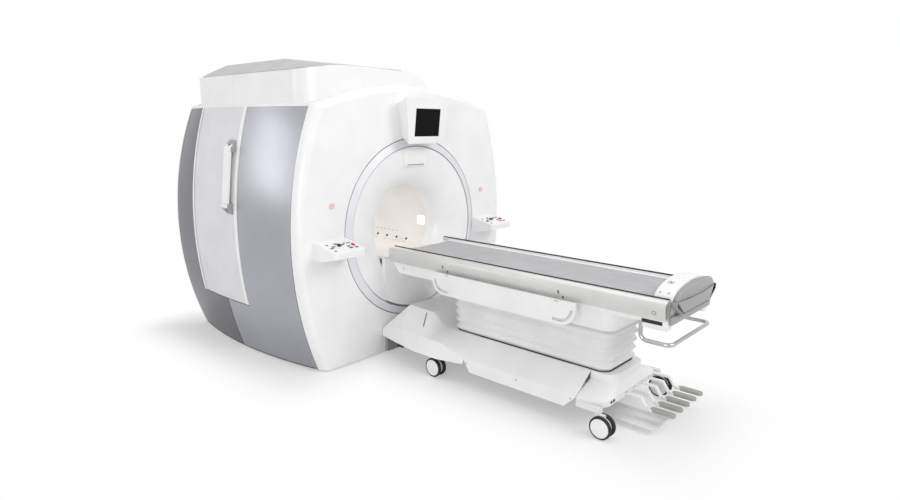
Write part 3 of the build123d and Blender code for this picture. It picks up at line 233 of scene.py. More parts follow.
# Finishes of the solids, by name or by how the name starts. All others have the gelcoat
paint = {
    "front_panels": silver_lacquer, "rear_panels": rear_lacquer_painted_shade, "door_panels": door_paint,
    "ring_band": ring_lacquer, "roof": lid_paint, "bore_liner": bore_laminate, "bridge": track_laminate,
    "screen": screen_glass, "magnet_base": powder_coat, "base_chassis": chassis_coat_painted_shade,
    "cryostat_vessel": vessel_steel, "cold_head": vessel_steel, "coil_set": winding,
    "gradient_coil": mill_alloy, "cover_frame": mill_alloy, "side_tubes": tube_alloy,
    "push_handle": bright_tube, "cradle_pad": pad_vinyl, "end_cap": end_plastic, "dock_block": end_plastic,
    "bellows": bellows_cloth, "dial_left": black_plastic_and_painted_shade, "dial_right": black_plastic_and_painted_shade,
}
paint_by_start = {
    "wheels": tyre_rubber, "stop_key": red_key, "stop_button": stop_button,
    "base_": cover_paint, "table_": cover_paint, "side_rail": cover_paint, "fork": cover_paint,
    "cradle": cover_paint, "foot_": cover_paint, "pedal_": cover_paint,
}
for name, node in nodes.items():
    by_start = [look for start, look in paint_by_start.items() if name.startswith(start)]
    node.data.materials.clear()
    node.data.materials.append(paint.get(name) or (by_start or [gelcoat])[0])

# Small modelled pieces
piece_sharp_angle = math.radians(35)


def put_in_scene(name, data):
    """A new object that is linked to the scene."""
    made = bpy.data.objects.new(name, data)
    scene.collection.objects.link(made)
    return made


def piece(name, bm, look, body, smooth=False):
    """Turns a bmesh into a piece that rides on a body."""
    bmesh.ops.recalc_face_normals(bm, faces=bm.faces)
    mesh = bpy.data.meshes.new(name)
    bm.to_mesh(mesh)
    bm.free()
    made = put_in_scene(name, mesh)
    mesh.materials.append(look)
    if smooth:
        mesh.shade_smooth()
        mesh.set_sharp_from_angle(angle=piece_sharp_angle)
    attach(made, body)
    return made


def edges_of(verts):
    """All edges that meet at some vertices."""
    return list({e for v in verts for e in v.link_edges})


def climb(edge):
    """How far an edge rises from one end to the other."""
    return abs(edge.verts[0].co.z - edge.verts[1].co.z)


def facing(out):
    """Turn that lays a shape's upright on a direction."""
    return UP.rotation_difference(Vector(out)).to_matrix().to_4x4()


def round_edges(bm, edges, radius, segments=3, clamp=False):
    """Rounds edges and gives what the bevel made."""
    return bmesh.ops.bevel(
        bm, geom=edges, offset=radius, segments=segments, affect="EDGES", profile=0.5, material=-1,
        clamp_overlap=clamp,
    )


def push(bm, grown, shift):
    """Moves the vertices that an extrusion made."""
    moved = [v for v in grown["geom"] if isinstance(v, bmesh.types.BMVert)]
    bmesh.ops.translate(bm, verts=moved, vec=shift)


def add_box(bm, low, high, turn=None, radius=0.0):
    """Adds a box between two corners, turned about its centre, with rounded edges if there is a radius."""
    low, high = Vector(low), Vector(high)
    place = Matrix.Translation((low + high) / 2) @ (turn or Matrix.Identity(4))
    made = bmesh.ops.create_cube(bm, size=1, matrix=place @ Matrix.Diagonal((*(high - low), 1)))
    if radius:
        round_edges(bm, edges_of(made["verts"]), radius)
    return made["verts"]


def add_slab(bm, low, high, corner, edge=0.0):
    """Adds a flat slab with rounded upright corners, and softened rims if there is an edge radius."""
    upright = [e for e in edges_of(add_box(bm, low, high)) if climb(e) > SAME_POINT]
    grown = round_edges(bm, upright, corner, 8)
    if edge:
        rims = {e for f in grown["faces"] for e in f.edges if climb(e) < SAME_POINT}
        flats = {e for f in bm.faces if abs(f.normal.z) > LEVEL_FACE for e in f.edges}
        round_edges(bm, list(rims | flats), edge, 2)


def add_turned(bm, profile, centre, axis, steps=40):
    """Spins a profile of (radius, height) points about an axis."""
    older = set(bm.verts)
    corners = [bm.verts.new((radius, 0, height)) for radius, height in profile]
    edges = [bm.edges.new(pair) for pair in zip(corners, corners[1:])]
    bmesh.ops.spin(
        bm, geom=corners + edges, cent=(0, 0, 0), axis=UP, angle=math.tau, steps=steps, use_merge=True
    )
    bmesh.ops.remove_doubles(bm, verts=[v for v in bm.verts if v not in older], dist=SAME_POINT)
    fresh = [v for v in bm.verts if v not in older]
    bmesh.ops.transform(bm, matrix=Matrix.Translation(Vector(centre)) @ facing(axis), verts=fresh)


def boxes(name, rows, look, body, radius=0.0, turn=None):
    """One piece made of boxes, each given by two corners."""
    bm = bmesh.new()
    for low, high in rows:
        add_box(bm, low, high, turn, radius)
    return piece(name, bm, look, body, smooth=radius > 0)


def turned(name, profile, places, look, body, steps=40):
    """One piece made of turned shapes, each given by a centre and an axis."""
    bm = bmesh.new()
    for centre, axis in places:
        add_turned(bm, profile, centre, axis, steps)
    return piece(name, bm, look, body, smooth=True)


def button(radius, height, round_share=0.35):
    """Profile of a flat button with a rounded rim, sunk a little into what carries it."""
    soft = min(radius, height) * round_share
    foot = -height / 2
    return (0, height), (radius - soft, height), (radius, height - soft), (radius, foot), (0, foot)


def on_side(sign, half_widths, y_limits, z_limits):
    """Two corners of a box on the left or the right of the table."""
    x_limits = sorted(sign * x for x in half_widths)
    return tuple(zip(x_limits, y_limits, z_limits))


# Wheel hubs: a wide white disc with a raised boss, so that only a thin black tyre shows
hub_profile = (
    (0, 0.0040), (0.013, 0.0040), (0.015, 0.0026), (0.045, 0.0034), (0.058, 0.0026), (0.0625, 0.0004),
    (0.0625, -0.0015), (0, -0.0015),
)
for caster in ("front_left", "front_right", "rear_left", "rear_right"):
    low, high = limits_of(f"wheels_{caster}")
    centre, wheel_side = (low + high) / 2, (high.x - low.x) / 2
    places = [(centre + Vector((face * wheel_side, 0, 0)), (face, 0, 0)) for face in (-1, 1)]
    turned(f"hub_{caster}", hub_profile, places, cover_paint, f"wheels_{caster}_body", 48)

# Bore: lit window, row of vents and coil sockets in the right-hand wall, and the slot of the alignment light
liner_low, liner_high = limits_of("bore_liner")
liner_wall, bore_sink = 0.01, 0.0004
bore_axis, bore_radius = (liner_low.z + liner_high.z) / 2, liner_high.x - liner_wall
window_low, window_high, window_round = (0.3448, -0.771, 1.012), (0.3476, -0.681, 1.09), 0.0008
vent_angle, vent_first, vent_pitch, vent_count = math.radians(-23.3), -0.08, 0.057, 7
socket_angle, socket_first, socket_pitch, socket_count = math.radians(-33.6), -0.175, 0.136, 4
vent_radius, socket_radius, bore_button_rise = 0.0055, 0.0125, 0.0012
light_slot_half, light_slot_depth, light_slot_foot, light_slot_head = 0.1, 0.0005, 0.006, 0.014
light_low = limits_of("light_box")[0]


def on_bore(angle, y):
    """Point on the right-hand wall of the bore and the direction into the bore."""
    out = Vector((math.cos(angle), 0, math.sin(angle)))
    return out * (bore_radius - bore_sink) + Vector((0, y, bore_axis)), -out


boxes("bore_window", [(window_low, window_high)], lamp_window, "magnet", window_round)
vents = [on_bore(vent_angle, vent_first - vent_pitch * number) for number in range(vent_count)]
turned("bore_vents", button(vent_radius, bore_button_rise), vents, tail_plastic, "magnet", 20)
sockets = [on_bore(socket_angle, socket_first - socket_pitch * number) for number in range(socket_count)]
turned("coil_sockets", button(socket_radius, bore_button_rise), sockets, black_plastic_and_painted_shade, "magnet", 32)
low = (-light_slot_half, light_low.y - light_slot_depth, light_low.z + light_slot_foot)
high = (light_slot_half, light_low.y + light_slot_depth, light_low.z + light_slot_head)
boxes("light_slot", [(low, high)], tail_plastic, "magnet")

# Console keys: black on the white sloping top, each with its shift from the middle and reach from the back
console_low, console_high = limits_of("console_right")
console_drop = 0.056
console_centre = (console_low.x + console_high.x) / 2
console_slope = console_drop / (console_high.y - console_low.y)
console_tilt = Matrix.Rotation(math.atan(console_slope), 4, "X")
long_key_half, long_key_lift, long_key_round = Vector((0.0155, 0.0085, 0.001)), 0.0008, 0.0008
long_keys = (
    (-0.017, 0.089), (-0.066, 0.132), (-0.1, 0.158), (0.024, 0.118), (0.052, 0.16), (0.052, 0.192),
    (0.103, 0.196),
)
round_key_radius, round_key_rise = 0.009, 0.0018
round_keys = ((-0.104, 0.208), (0.058, 0.098), (0.084, 0.102), (0.108, 0.1), (-0.098, 0.092))


def on_console(centre, shift, reach, lift):
    """Point on the sloping top of a console."""
    spot = Vector((centre + shift, console_high.y - reach, console_high.z - console_slope * reach))
    return spot + console_tilt.to_3x3() @ Vector((0, 0, lift))


for side, sign in SIDES:
    bm = bmesh.new()
    for shift, reach in long_keys:
        spot = on_console(sign * console_centre, shift, reach, long_key_lift)
        add_box(bm, spot - long_key_half, spot + long_key_half, console_tilt, long_key_round)
    for shift, reach in round_keys:
        spot = on_console(sign * console_centre, shift, reach, 0.0)
        add_turned(bm, button(round_key_radius, round_key_rise), spot, console_tilt.to_3x3() @ UP, 24)
    piece(f"console_keys_{side}", bm, black_plastic_and_painted_shade, "magnet", smooth=True)

# Side tubes: the lower outer face leans out from its low edge to its belly
tube_foot, tube_head = (limit.y for limit in limits_of("side_tubes"))
tube_top, frame_half = limits_of("side_tubes")[1].z, limits_of("table_frame")[1].x
tube_low, tube_low_z = 0.338, 0.812
tube_belly, tube_belly_z = 0.362, 0.878
tube_lean, tube_face_height = tube_belly - tube_low, tube_belly_z - tube_low_z
# Black seal on the inner top edge, also painted shade of the gap to the cradle, plug in the foot's end, and
# painted shade of a recess below it
seal_foot_gap, seal_head_gap, seal_sink, seal_lift = 0.004, 0.012, 0.0018, 0.0065
seal_widths, seal_round = (0.2992, 0.3068), 0.0012
seal_y = (tube_foot + seal_foot_gap, tube_head - seal_head_gap)
seal_z = (tube_top - seal_sink, tube_top + seal_lift)
plug_widths, plug_z, plug_depth, plug_round = (0.309, 0.3565), (0.832, 0.928), 0.013, 0.005
recess_sink, recess_lift, recess_round = 0.0005, 0.0009, 0.0005
recess_y, recess_z = (-3.398, -3.268), (0.777, 0.8)
# Round cap in a ring, painted shade of the slots and the pins that carry the side rails, and the screws of
# the head bracket
cap_y, cap_z, cap_radius, cap_rise = -3.356, 0.857, 0.0104, 0.0012
cap_ring = (
    (0.0105, 0.0006), (0.0115, 0.0022), (0.0135, 0.0022), (0.0145, -0.001), (0.0105, -0.001),
    (0.0105, 0.0006),
)
slot_rows, slot_face_z, slot_z = (-1.662, -2.7), 0.862, 0.863
slot_half, slot_round = Vector((0.0012, 0.005, 0.012)), 0.0006
pin_rows, pin_z, pin_sink, pin_radius, pin_rise = (-1.704, -2.73), 0.83, 0.001, 0.0075, 0.004
bracket_screw_rows, bracket_screw_z = (-1.19, -1.52), 0.768
bracket_screw_radius, bracket_screw_rise = 0.006, 0.0016


def tube_face(z):
    """Half width of the side tube's lower outer face."""
    return tube_low + tube_lean * (z - tube_low_z) / tube_face_height


for side, sign in SIDES:
    out = Vector((tube_face_height, 0, -tube_lean)).normalized()
    out.x *= sign
    # The black seal strip is partly painted shade: it also darkens the gap between tube and cradle
    seal = on_side(sign, seal_widths, seal_y, seal_z)
    boxes(f"tube_seal_and_gap_shade_{side}", [seal], black_plastic_and_painted_shade, "table_top", seal_round)
    caps = [(Vector((sign * tube_face(cap_z), cap_y, cap_z)), out)]
    turned(f"tube_cap_ring_{side}", cap_ring, caps, tail_plastic, "table_top")
    turned(f"tube_cap_{side}", button(cap_radius, cap_rise), caps, tube_alloy, "table_top")
    plug = on_side(sign, plug_widths, (tube_foot - plug_depth, tube_foot), plug_z)
    boxes(f"tube_plug_{side}", [plug], tail_plastic, "table_top", plug_round)
    lean = Matrix.Rotation(sign * math.atan2(tube_lean, tube_face_height), 4, "Y")
    # Black boxes on the tube's face that paint the shade of the rail slots
    middles = [Vector((sign * tube_face(slot_face_z), y, slot_z)) for y in slot_rows]
    slots = [(middle - slot_half, middle + slot_half) for middle in middles]
    boxes(f"rail_slot_shades_{side}", slots, black_plastic_and_painted_shade, "table_top", slot_round, lean)
    pins = [((sign * (tube_face(pin_z) - pin_sink), y, pin_z), out) for y in pin_rows]
    turned(f"rail_pins_{side}", button(pin_radius, pin_rise), pins, black_plastic_and_painted_shade, "table_top", 24)
    screws = [((sign * frame_half, y, bracket_screw_z), (sign, 0, 0)) for y in bracket_screw_rows]
    screw = button(bracket_screw_radius, bracket_screw_rise)
    turned(f"bracket_screws_{side}", screw, screws, vessel_steel, "table_top", 20)
    # A black box that paints the shade of a recess in the frame's side
    recess = on_side(sign, (frame_half - recess_sink, frame_half + recess_lift), recess_y, recess_z)
    boxes(f"tail_recess_shade_{side}", [recess], black_plastic_and_painted_shade, "table_top", recess_round)

# Tail tray: a grey trough round the end cap with a black lining, partly painted shade of the gap round the
# cap, a band, and blocks under the tubes' ends
trough = ((0.3035, 0.936), (0.3035, 0.9045), (0.2045, 0.8425))
lining_head, lining_foot, lining_wall = -3.4415, -3.473, 0.0022
tray_head, tray_foot, tray_wall, tray_gap, tray_round = -3.4412, -3.4755, 0.006, 0.0024, 0.0015
band_low, band_high, band_round = (-0.3, -3.452, 0.783), (0.3, -3.4275, 0.834), 0.009
block_width, block_y, block_z, block_round = 0.068, (-3.43, -3.258), (0.744, 0.79), 0.01


def add_trough(bm, gap, head, foot, wall):
    """Adds a sheet that follows the trough's outline, set out by a gap, and gives it a wall."""
    half = [(x + gap, z - gap / 2) for x, z in trough]
    outline = half + [(-x, z) for x, z in reversed(half)]
    corners = [bm.verts.new((x, head, z)) for x, z in outline]
    edges = [bm.edges.new(pair) for pair in zip(corners, corners[1:])]
    push(bm, bmesh.ops.extrude_edge_only(bm, edges=edges), (0, foot - head, 0))
    bmesh.ops.recalc_face_normals(bm, faces=bm.faces)
    bottom = min(bm.faces, key=lambda f: f.calc_center_median().z)
    if bottom.normal.z > 0:
        bmesh.ops.reverse_faces(bm, faces=bm.faces)
    bmesh.ops.solidify(bm, geom=bm.faces, thickness=-wall)


bm = bmesh.new()
# The black lining shows in the gap round the cap, partly as painted shade
add_trough(bm, 0.0, lining_head, lining_foot, lining_wall)
piece("tail_lining_and_gap_shade", bm, black_plastic_and_painted_shade, "table_top")
bm = bmesh.new()
add_trough(bm, tray_gap, tray_head, tray_foot, tray_wall)
round_edges(bm, list(bm.edges), tray_round, 2)
piece("tail_tray", bm, end_plastic, "table_top", smooth=True)
boxes("tail_band", [(band_low, band_high)], end_plastic, "table_top", band_round)
for side, sign in SIDES:
    block = on_side(sign, (frame_half - block_width, frame_half), block_y, block_z)
    boxes(f"tail_block_{side}", [block], cover_paint, "table_top", block_round)

# Foot hump and end cap of the cradle: arched over the cradle's width
cradle_low, cradle_high = limits_of("cradle")
hump_inset, hump_lift, hump_overhang = 0.0005, 0.0002, 0.001
hump_half, hump_foot = cradle_high.x - hump_inset, cradle_high.z + hump_lift
hump_head, hump_end, hump_rise, hump_round = -3.322, cradle_low.y - hump_overhang, 0.092, 0.009
cap_end = -3.466
shell_gap, shell_inset, shell_drop, shell_round = 0.0006, 0.001, 0.002, 0.016
# The cap's flat face hangs below the arch, narrows downwards and bows out in the middle
face_inset, face_lift, face_gap, face_stand = 0.0025, 0.001, 0.0005, 0.0035
face_round, face_foot_share = 0.006, 0.68
face_half, face_low, face_top = cradle_high.x - face_inset, cradle_low.z + face_lift, cradle_high.z
bow, bow_gap = 0.02, 0.004
seam_drop, seam_height, seam_margin, seam_stand, seam_wall = 0.0015, 0.003, 0.01, 0.0004, 0.0012
many_corners = 20


def add_arch(bm, head, foot, half, low, rise, soft):
    """Adds the upper half of an oval drum that lies along the table, with softened end rims."""
    place = (
        Matrix.Translation((0, (head + foot) / 2, low))
        @ Matrix.Diagonal((half, 1, rise, 1))
        @ Matrix.Rotation(math.pi / 2, 4, "X")
    )
    drum = bmesh.ops.create_cone(
        bm, cap_ends=True, segments=96, radius1=1, radius2=1, depth=abs(foot - head), matrix=place
    )["verts"]
    whole = list(drum) + edges_of(drum) + list({f for v in drum for f in v.link_faces})
    cut = bmesh.ops.bisect_plane(bm, geom=whole, plane_co=(0, 0, low), plane_no=UP, clear_inner=True)
    bmesh.ops.contextual_create(bm, geom=[e for e in cut["geom_cut"] if isinstance(e, bmesh.types.BMEdge)])
    ends = [f for f in bm.faces if len(f.verts) > many_corners]
    rims = {e for f in ends for e in f.edges if min(v.co.z for v in e.verts) > low + LEVEL}
    round_edges(bm, list(rims), soft, 4)


def bowed(x):
    """How far the end cap's face stands out at a place across the table."""
    return bow * (1 - (x / hump_half) ** 2)


bm = bmesh.new()
add_arch(bm, hump_head, hump_end, hump_half, hump_foot, hump_rise, hump_round)
hump = piece("foot_hump", bm, cover_paint, "cradle_body", smooth=True)
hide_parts("foot_box")

bm = bmesh.new()
add_arch(
    bm, hump_end - shell_gap, cap_end, hump_half - shell_inset, hump_foot - shell_drop,
    hump_rise - shell_drop, shell_round,
)
face = add_box(
    bm, (-face_half, cap_end - face_stand, face_low), (face_half, hump_end - face_gap, face_top)
)
for v in face:
    if v.co.z < (face_low + face_top) / 2:
        v.co.x *= face_foot_share
round_edges(bm, edges_of(face), face_round)
for v in bm.verts:
    if v.co.y < hump_end - bow_gap:
        v.co.y -= bowed(v.co.x)
cap = piece("end_cap_shell", bm, end_plastic, "cradle_body", smooth=True)
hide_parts("end_cap")

# A thin black band on the cap's face that paints the shade of the gap line
bm = bmesh.new()
grid = bmesh.ops.create_grid(bm, x_segments=40, y_segments=1, size=0.5)
for v in grid["verts"]:
    x = 2 * v.co.x * (hump_half - seam_margin)
    v.co = (x, cap_end - bowed(x) - seam_stand, cradle_high.z - seam_drop + seam_height * v.co.y)
bmesh.ops.solidify(bm, geom=bm.faces, thickness=seam_wall)
piece("end_cap_seam_shade", bm, black_plastic_and_painted_shade, "cradle_body")

# Display window and buttons on the hump's left shoulder
display_x, display_y, display_round = -0.167, -3.368, 0.0006
display_layers = (("display_rim", 0.016, 0.0012, black_plastic_and_painted_shade), ("display_plate", 0.0135, 0.0018, gelcoat))
display_mark_radius, display_mark_rise = 0.0085, 0.0028
display_keys = ((-0.277, -3.352), (-0.274, -3.405))
display_key_radius, display_key_rise, display_key_lift = 0.0065, 0.0014, 0.0002


def on_hump(x, y, lift):
    """Point above the hump's arch and the direction that faces out there."""
    share = x / hump_half
    height = hump_rise * math.sqrt(1 - share * share)
    out = Vector((x / hump_half ** 2, 0, height / hump_rise ** 2)).normalized()
    return Vector((x, y, hump_foot + height)) + out * lift, out


spot, out = on_hump(display_x, display_y, 0.0)
for name, half_width, height, look in display_layers:
    half = Vector((half_width, half_width, height))
    boxes(name, [(spot - half, spot + half)], look, "cradle_body", display_round, facing(out))
mark = button(display_mark_radius, display_mark_rise)
turned("display_mark", mark, [(spot, out)], black_plastic_and_painted_shade, "cradle_body", 6)
keys = [on_hump(x, y, display_key_lift) for x, y in display_keys]
key = button(display_key_radius, display_key_rise)
turned("display_buttons", key, keys, end_plastic, "cradle_body", 24)

# Rubber pads on the pedals
pedal_count = 5
pad_margin, pad_overhang, pad_length, pad_lift, pad_thickness = 0.0008, 0.0015, 0.1655, 0.0023, 0.0202
pad_corner, pad_edge = 0.0255, 0.003
for number in range(1, pedal_count + 1):
    pedal_low, pedal_high = limits_of(f"pedal_{number}")
    low = pedal_low + Vector((-pad_margin, -pad_overhang, pad_lift))
    high = Vector((pedal_high.x + pad_margin, low.y + pad_length, low.z + pad_thickness))
    bm = bmesh.new()
    add_slab(bm, low, high, pad_corner, pad_edge)
    piece(f"pedal_pad_{number}", bm, pad_rubber, f"pedal_{number}_body", smooth=True)

# Base: black gasket round the bellows' foot, black boxes that paint the shade of the hood slits, panel
# screws and sockets of the rear apron
bellows_low, bellows_high = limits_of("bellows")
gasket_inset, gasket_height, gasket_corner, gasket_width = 0.0295, 0.0035, 0.075, 0.025
slit_foot, slit_head = (0.3615, -1.4575, 0.336), (0.2722, -1.4085, 0.4235)
slit_width, slit_depth, slit_round = 0.006, 0.0045, 0.001
panel_screw_rows, panel_screw_x, panel_screw_z = (-1.965, -2.42, -2.86), 0.4115, 0.1785
panel_screw_radius, panel_screw_rise, panel_lean = 0.005, 0.0014, 0.27
apron_columns, apron_half, apron_round = (-0.297, -0.262), 0.013, 0.0012
apron_foot, apron_head, apron_low, apron_top = -3.0962, -3.0925, 0.1795, 0.1965

bm = bmesh.new()
low = bellows_low + Vector((gasket_inset, gasket_inset, 0))
high = bellows_high - Vector((gasket_inset, gasket_inset, 0))
high.z = low.z + gasket_height
add_slab(bm, low, high, gasket_corner)
flats = [f for f in bm.faces if abs(f.normal.z) > LEVEL_FACE]
bmesh.ops.inset_individual(bm, faces=flats, thickness=gasket_width, use_even_offset=True)
rims = list({e for f in flats for e in f.edges})
bmesh.ops.delete(bm, geom=flats, context="FACES_ONLY")
bmesh.ops.bridge_loops(bm, edges=rims)
piece("bellows_gasket", bm, black_plastic_and_painted_shade, "table_base")
for side, sign in SIDES:
    low, high = (Vector((sign * x, y, z)) for x, y, z in (slit_foot, slit_head))
    middle, half = (low + high) / 2, Vector((slit_width, slit_depth, (high - low).length)) / 2
    rows = [(middle - half, middle + half)]
    # Black boxes that paint the shade inside the hood slits
    boxes(f"hood_slit_shade_{side}", rows, black_plastic_and_painted_shade, "table_base", slit_round, facing(high - low))
    screws = [((sign * panel_screw_x, y, panel_screw_z), (sign, 0, panel_lean)) for y in panel_screw_rows]
    screw = button(panel_screw_radius, panel_screw_rise)
    turned(f"panel_screws_{side}", screw, screws, tail_plastic, "table_base", 20)
rows = [
    ((x - apron_half, apron_foot, apron_low), (x + apron_half, apron_head, apron_top)) for x in apron_columns
]
boxes("apron_sockets", rows, black_plastic_and_painted_shade, "table_base", apron_round)

# White rims of the side panels, black bands of painted shade in their seams and at the floor, and shells on
# the handle's brackets, on the barrel-curved wall
door_low, door_high = limits_of("door_panels")
front_wall_low, front_wall_high = limits_of("front_panels")
rear_wall_low = limits_of("rear_panels")[0]
handle_low, handle_high = limits_of("panel_handles")
wall_half_depth, wall_belly_z = -limits_of("front_cover")[0].y, 1.2
wall_heights = (front_wall_low.z, wall_belly_z, front_wall_high.z)
wall_end_widths, wall_middle_widths = (0.99, 1.19, 0.97), (1.115, 1.295, 1.155)
rim_lift, seam_shade_lift, band_sink, band_gap = 0.0025, 0.0014, 0.0006, 0.0005
front_rim_width, rear_rim_width, rim_foot_gap = 0.04, 0.03, 0.001
door_seam_margin, door_seam_drop = 0.0008, 0.0055
joint_foot, floor_seam_half, floor_seam_rise = 0.03, 0.88, 0.007
# Bands by their y and z limits: the upright rims of the lift-off panel, then painted shade under its foot,
# in the joint below it and in the joint at the floor
rim_z = (door_low.z + rim_foot_gap, door_high.z - band_gap)
panel_rims = (
    (door_low.y + band_gap, door_low.y + front_rim_width, *rim_z),
    (door_high.y - rear_rim_width, door_high.y - band_gap, *rim_z),
)
door_seam_y = (door_low.y + door_seam_margin, door_high.y - door_seam_margin)
joint_y = (front_wall_high.y + band_gap, rear_wall_low.y - band_gap)
seam_shade_bands = (
    (*door_seam_y, door_low.z - door_seam_drop, door_low.z + band_gap),
    (*joint_y, joint_foot, door_low.z - door_seam_drop),
    (-floor_seam_half, floor_seam_half, front_wall_low.z + band_gap, front_wall_low.z + floor_seam_rise),
)
bracket_low, bracket_high, bracket_cheek = 1.245, 1.775, 0.0015
bracket_middle = (handle_low.y + handle_high.y) / 2
bracket_width = handle_high.y - handle_low.y + 2 * bracket_cheek
bracket_rise, bracket_stand, bracket_sink = 0.062, 0.048, 0.004
bracket_skin, bracket_round = 0.0012, 0.0015
bracket_hole_radius, bracket_hole_rise, bracket_hole_share = 0.012, 0.0012, 0.65


def arc_x(half_widths, z):
    """Half width at a height on the arc through the wall's foot, belly and top."""
    (foot_x, foot_z), (belly_x, belly_z), (top_x, top_z) = zip(half_widths, wall_heights)
    ax, az, bx, bz = belly_x - foot_x, belly_z - foot_z, top_x - foot_x, top_z - foot_z
    a, b, twist = ax * ax + az * az, bx * bx + bz * bz, 2 * (ax * bz - az * bx)
    centre_x, centre_z = (bz * a - az * b) / twist, (ax * b - bx * a) / twist
    return foot_x + centre_x + math.sqrt(centre_x ** 2 + centre_z ** 2 - (z - foot_z - centre_z) ** 2)


def wall_x(y, z):
    """Half width of the side wall's outer face."""
    ends, middle = arc_x(wall_end_widths, z), arc_x(wall_middle_widths, z)
    return ends + (middle - ends) * (1 - (y / wall_half_depth) ** 2)


def wall_band(name, sign, rows, look, lift):
    """Thin bands that lie on the barrel-curved side wall."""
    bm = bmesh.new()
    for y0, y1, z0, z1 in rows:
        grid = bmesh.ops.create_grid(bm, x_segments=24, y_segments=48, size=0.5)
        for v in grid["verts"]:
            y, z = y0 + (v.co.x + 0.5) * (y1 - y0), z0 + (v.co.y + 0.5) * (z1 - z0)
            v.co = (sign * (wall_x(y, z) + lift), y, z)
    bmesh.ops.recalc_face_normals(bm, faces=bm.faces)
    if sum(f.normal.x for f in bm.faces) * sign < 0:
        bmesh.ops.reverse_faces(bm, faces=bm.faces)
    bmesh.ops.solidify(bm, geom=bm.faces, thickness=lift + band_sink)
    return piece(name, bm, look, "magnet")


def bracket_shells(side, sign):
    """Grey shells on the handle's two wedge brackets, each with a black disc in its slope that paints the
    shade of a hole.
    """
    low_x, high_x = (wall_x(bracket_middle, z) + bracket_stand for z in (bracket_low, bracket_high))
    lean = (high_x - low_x) / (bracket_high - bracket_low)
    bm, holes = bmesh.new(), []
    for height, flip in ((bracket_low, 1), (bracket_high, -1)):
        inner = height + flip * bracket_rise / 2
        far = height + flip * (bracket_rise + bracket_skin)
        root = wall_x(bracket_middle, inner) - bracket_sink
        tip = low_x + lean * (inner - bracket_low) + bracket_skin
        foot = Vector((sign * root, 0, height - flip * (bracket_rise / 2 + bracket_skin)))
        head = Vector((sign * tip, 0, height + flip * (bracket_rise / 2 - bracket_skin)))
        outline = (foot, head, Vector((sign * tip, 0, far)), Vector((sign * root, 0, far)))
        edge = Vector((0, bracket_middle - bracket_width / 2, 0))
        corners = [bm.verts.new(point + edge) for point in outline]
        grown = bmesh.ops.extrude_face_region(bm, geom=[bm.faces.new(corners)], use_keep_orig=True)
        push(bm, grown, (0, bracket_width, 0))
        slope = head - foot
        out = Vector((sign * abs(slope.z), 0, -flip * abs(slope.x))).normalized()
        holes.append((foot + slope * bracket_hole_share + Vector((0, bracket_middle, 0)), out))
    round_edges(bm, list(bm.edges), bracket_round, 2)
    piece(f"bracket_shells_{side}", bm, end_plastic, "magnet", smooth=True)
    # Black discs that paint the shade of the holes in the bracket slopes
    hole = button(bracket_hole_radius, bracket_hole_rise)
    turned(f"bracket_hole_shades_{side}", hole, holes, black_plastic_and_painted_shade, "magnet", 32)


for side, sign in SIDES:
    wall_band(f"panel_rims_{side}", sign, panel_rims, gelcoat, rim_lift)
    # Black bands that paint the shade in the panel seams and at the floor
    wall_band(f"seam_shade_bands_{side}", sign, seam_shade_bands, black_plastic_and_painted_shade, seam_shade_lift)
    bracket_shells(side, sign)


# Soft pieces, made from copies of their solids
def joined_copy(node):
    """A copy of a solid's mesh, and a bmesh of it with its loose triangles joined."""
    mesh = nodes[node].data.copy()
    bm = bmesh.new()
    bm.from_mesh(mesh)
    bmesh.ops.remove_doubles(bm, verts=bm.verts, dist=SAME_SOLID_POINT)
    return mesh, bm


# Bellows, with rounded folds
lift_stroke, fold_round = 0.2, 0.006
flat_angle, fold_angle, fold_sharp_angle = math.radians(1), math.radians(20), math.radians(40)


def folding(name, node):
    """A copy of a folded skirt with its folds rounded, riding on the base."""
    mesh, bm = joined_copy(node)
    bmesh.ops.dissolve_limit(bm, angle_limit=flat_angle, verts=bm.verts, edges=bm.edges)
    level = [e for e in bm.edges if climb(e) < LEVEL and len(e.link_faces) == 2]
    round_edges(bm, [e for e in level if e.calc_face_angle() > fold_angle], fold_round, clamp=True)
    bm.to_mesh(mesh)
    bm.free()
    mesh.shade_smooth()
    mesh.set_sharp_from_angle(angle=fold_sharp_angle)
    made = put_in_scene(name, mesh)
    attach(made, "table_base")
    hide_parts(node)
    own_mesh(made)
    return made


folding("bellows_folds", "bellows")

# Cradle pad, swollen as foam under vinyl: how far it shrinks first, and how far cloth may move then
pad_inset, pad_voxel, pad_swell = 0.0045, 0.009, 0.0038
cloth_pressure, cloth_quality, cloth_frames = 4, 4, 12


def inflate(made, cap):
    """Moves a mesh's vertices as cloth under pressure, no further than a cap."""
    rest = [v.co.copy() for v in made.data.vertices]
    cloth = made.modifiers.new("cloth", "CLOTH")
    cloth.settings.use_pressure = True
    cloth.settings.uniform_pressure_force = cloth_pressure
    cloth.settings.effector_weights.gravity = 0
    cloth.settings.quality = cloth_quality
    for step in range(1, cloth_frames + 1):
        scene.frame_set(step)
    graph = bpy.context.evaluated_depsgraph_get()
    moved = made.evaluated_get(graph).data.vertices
    shifts = [after.co - before for before, after in zip(rest, moved)]
    made.modifiers.clear()
    for v, before, shift in zip(made.data.vertices, rest, shifts):
        v.co = before + shift * min(1, cap / max(shift.length, 1e-9))
    scene.frame_set(1)


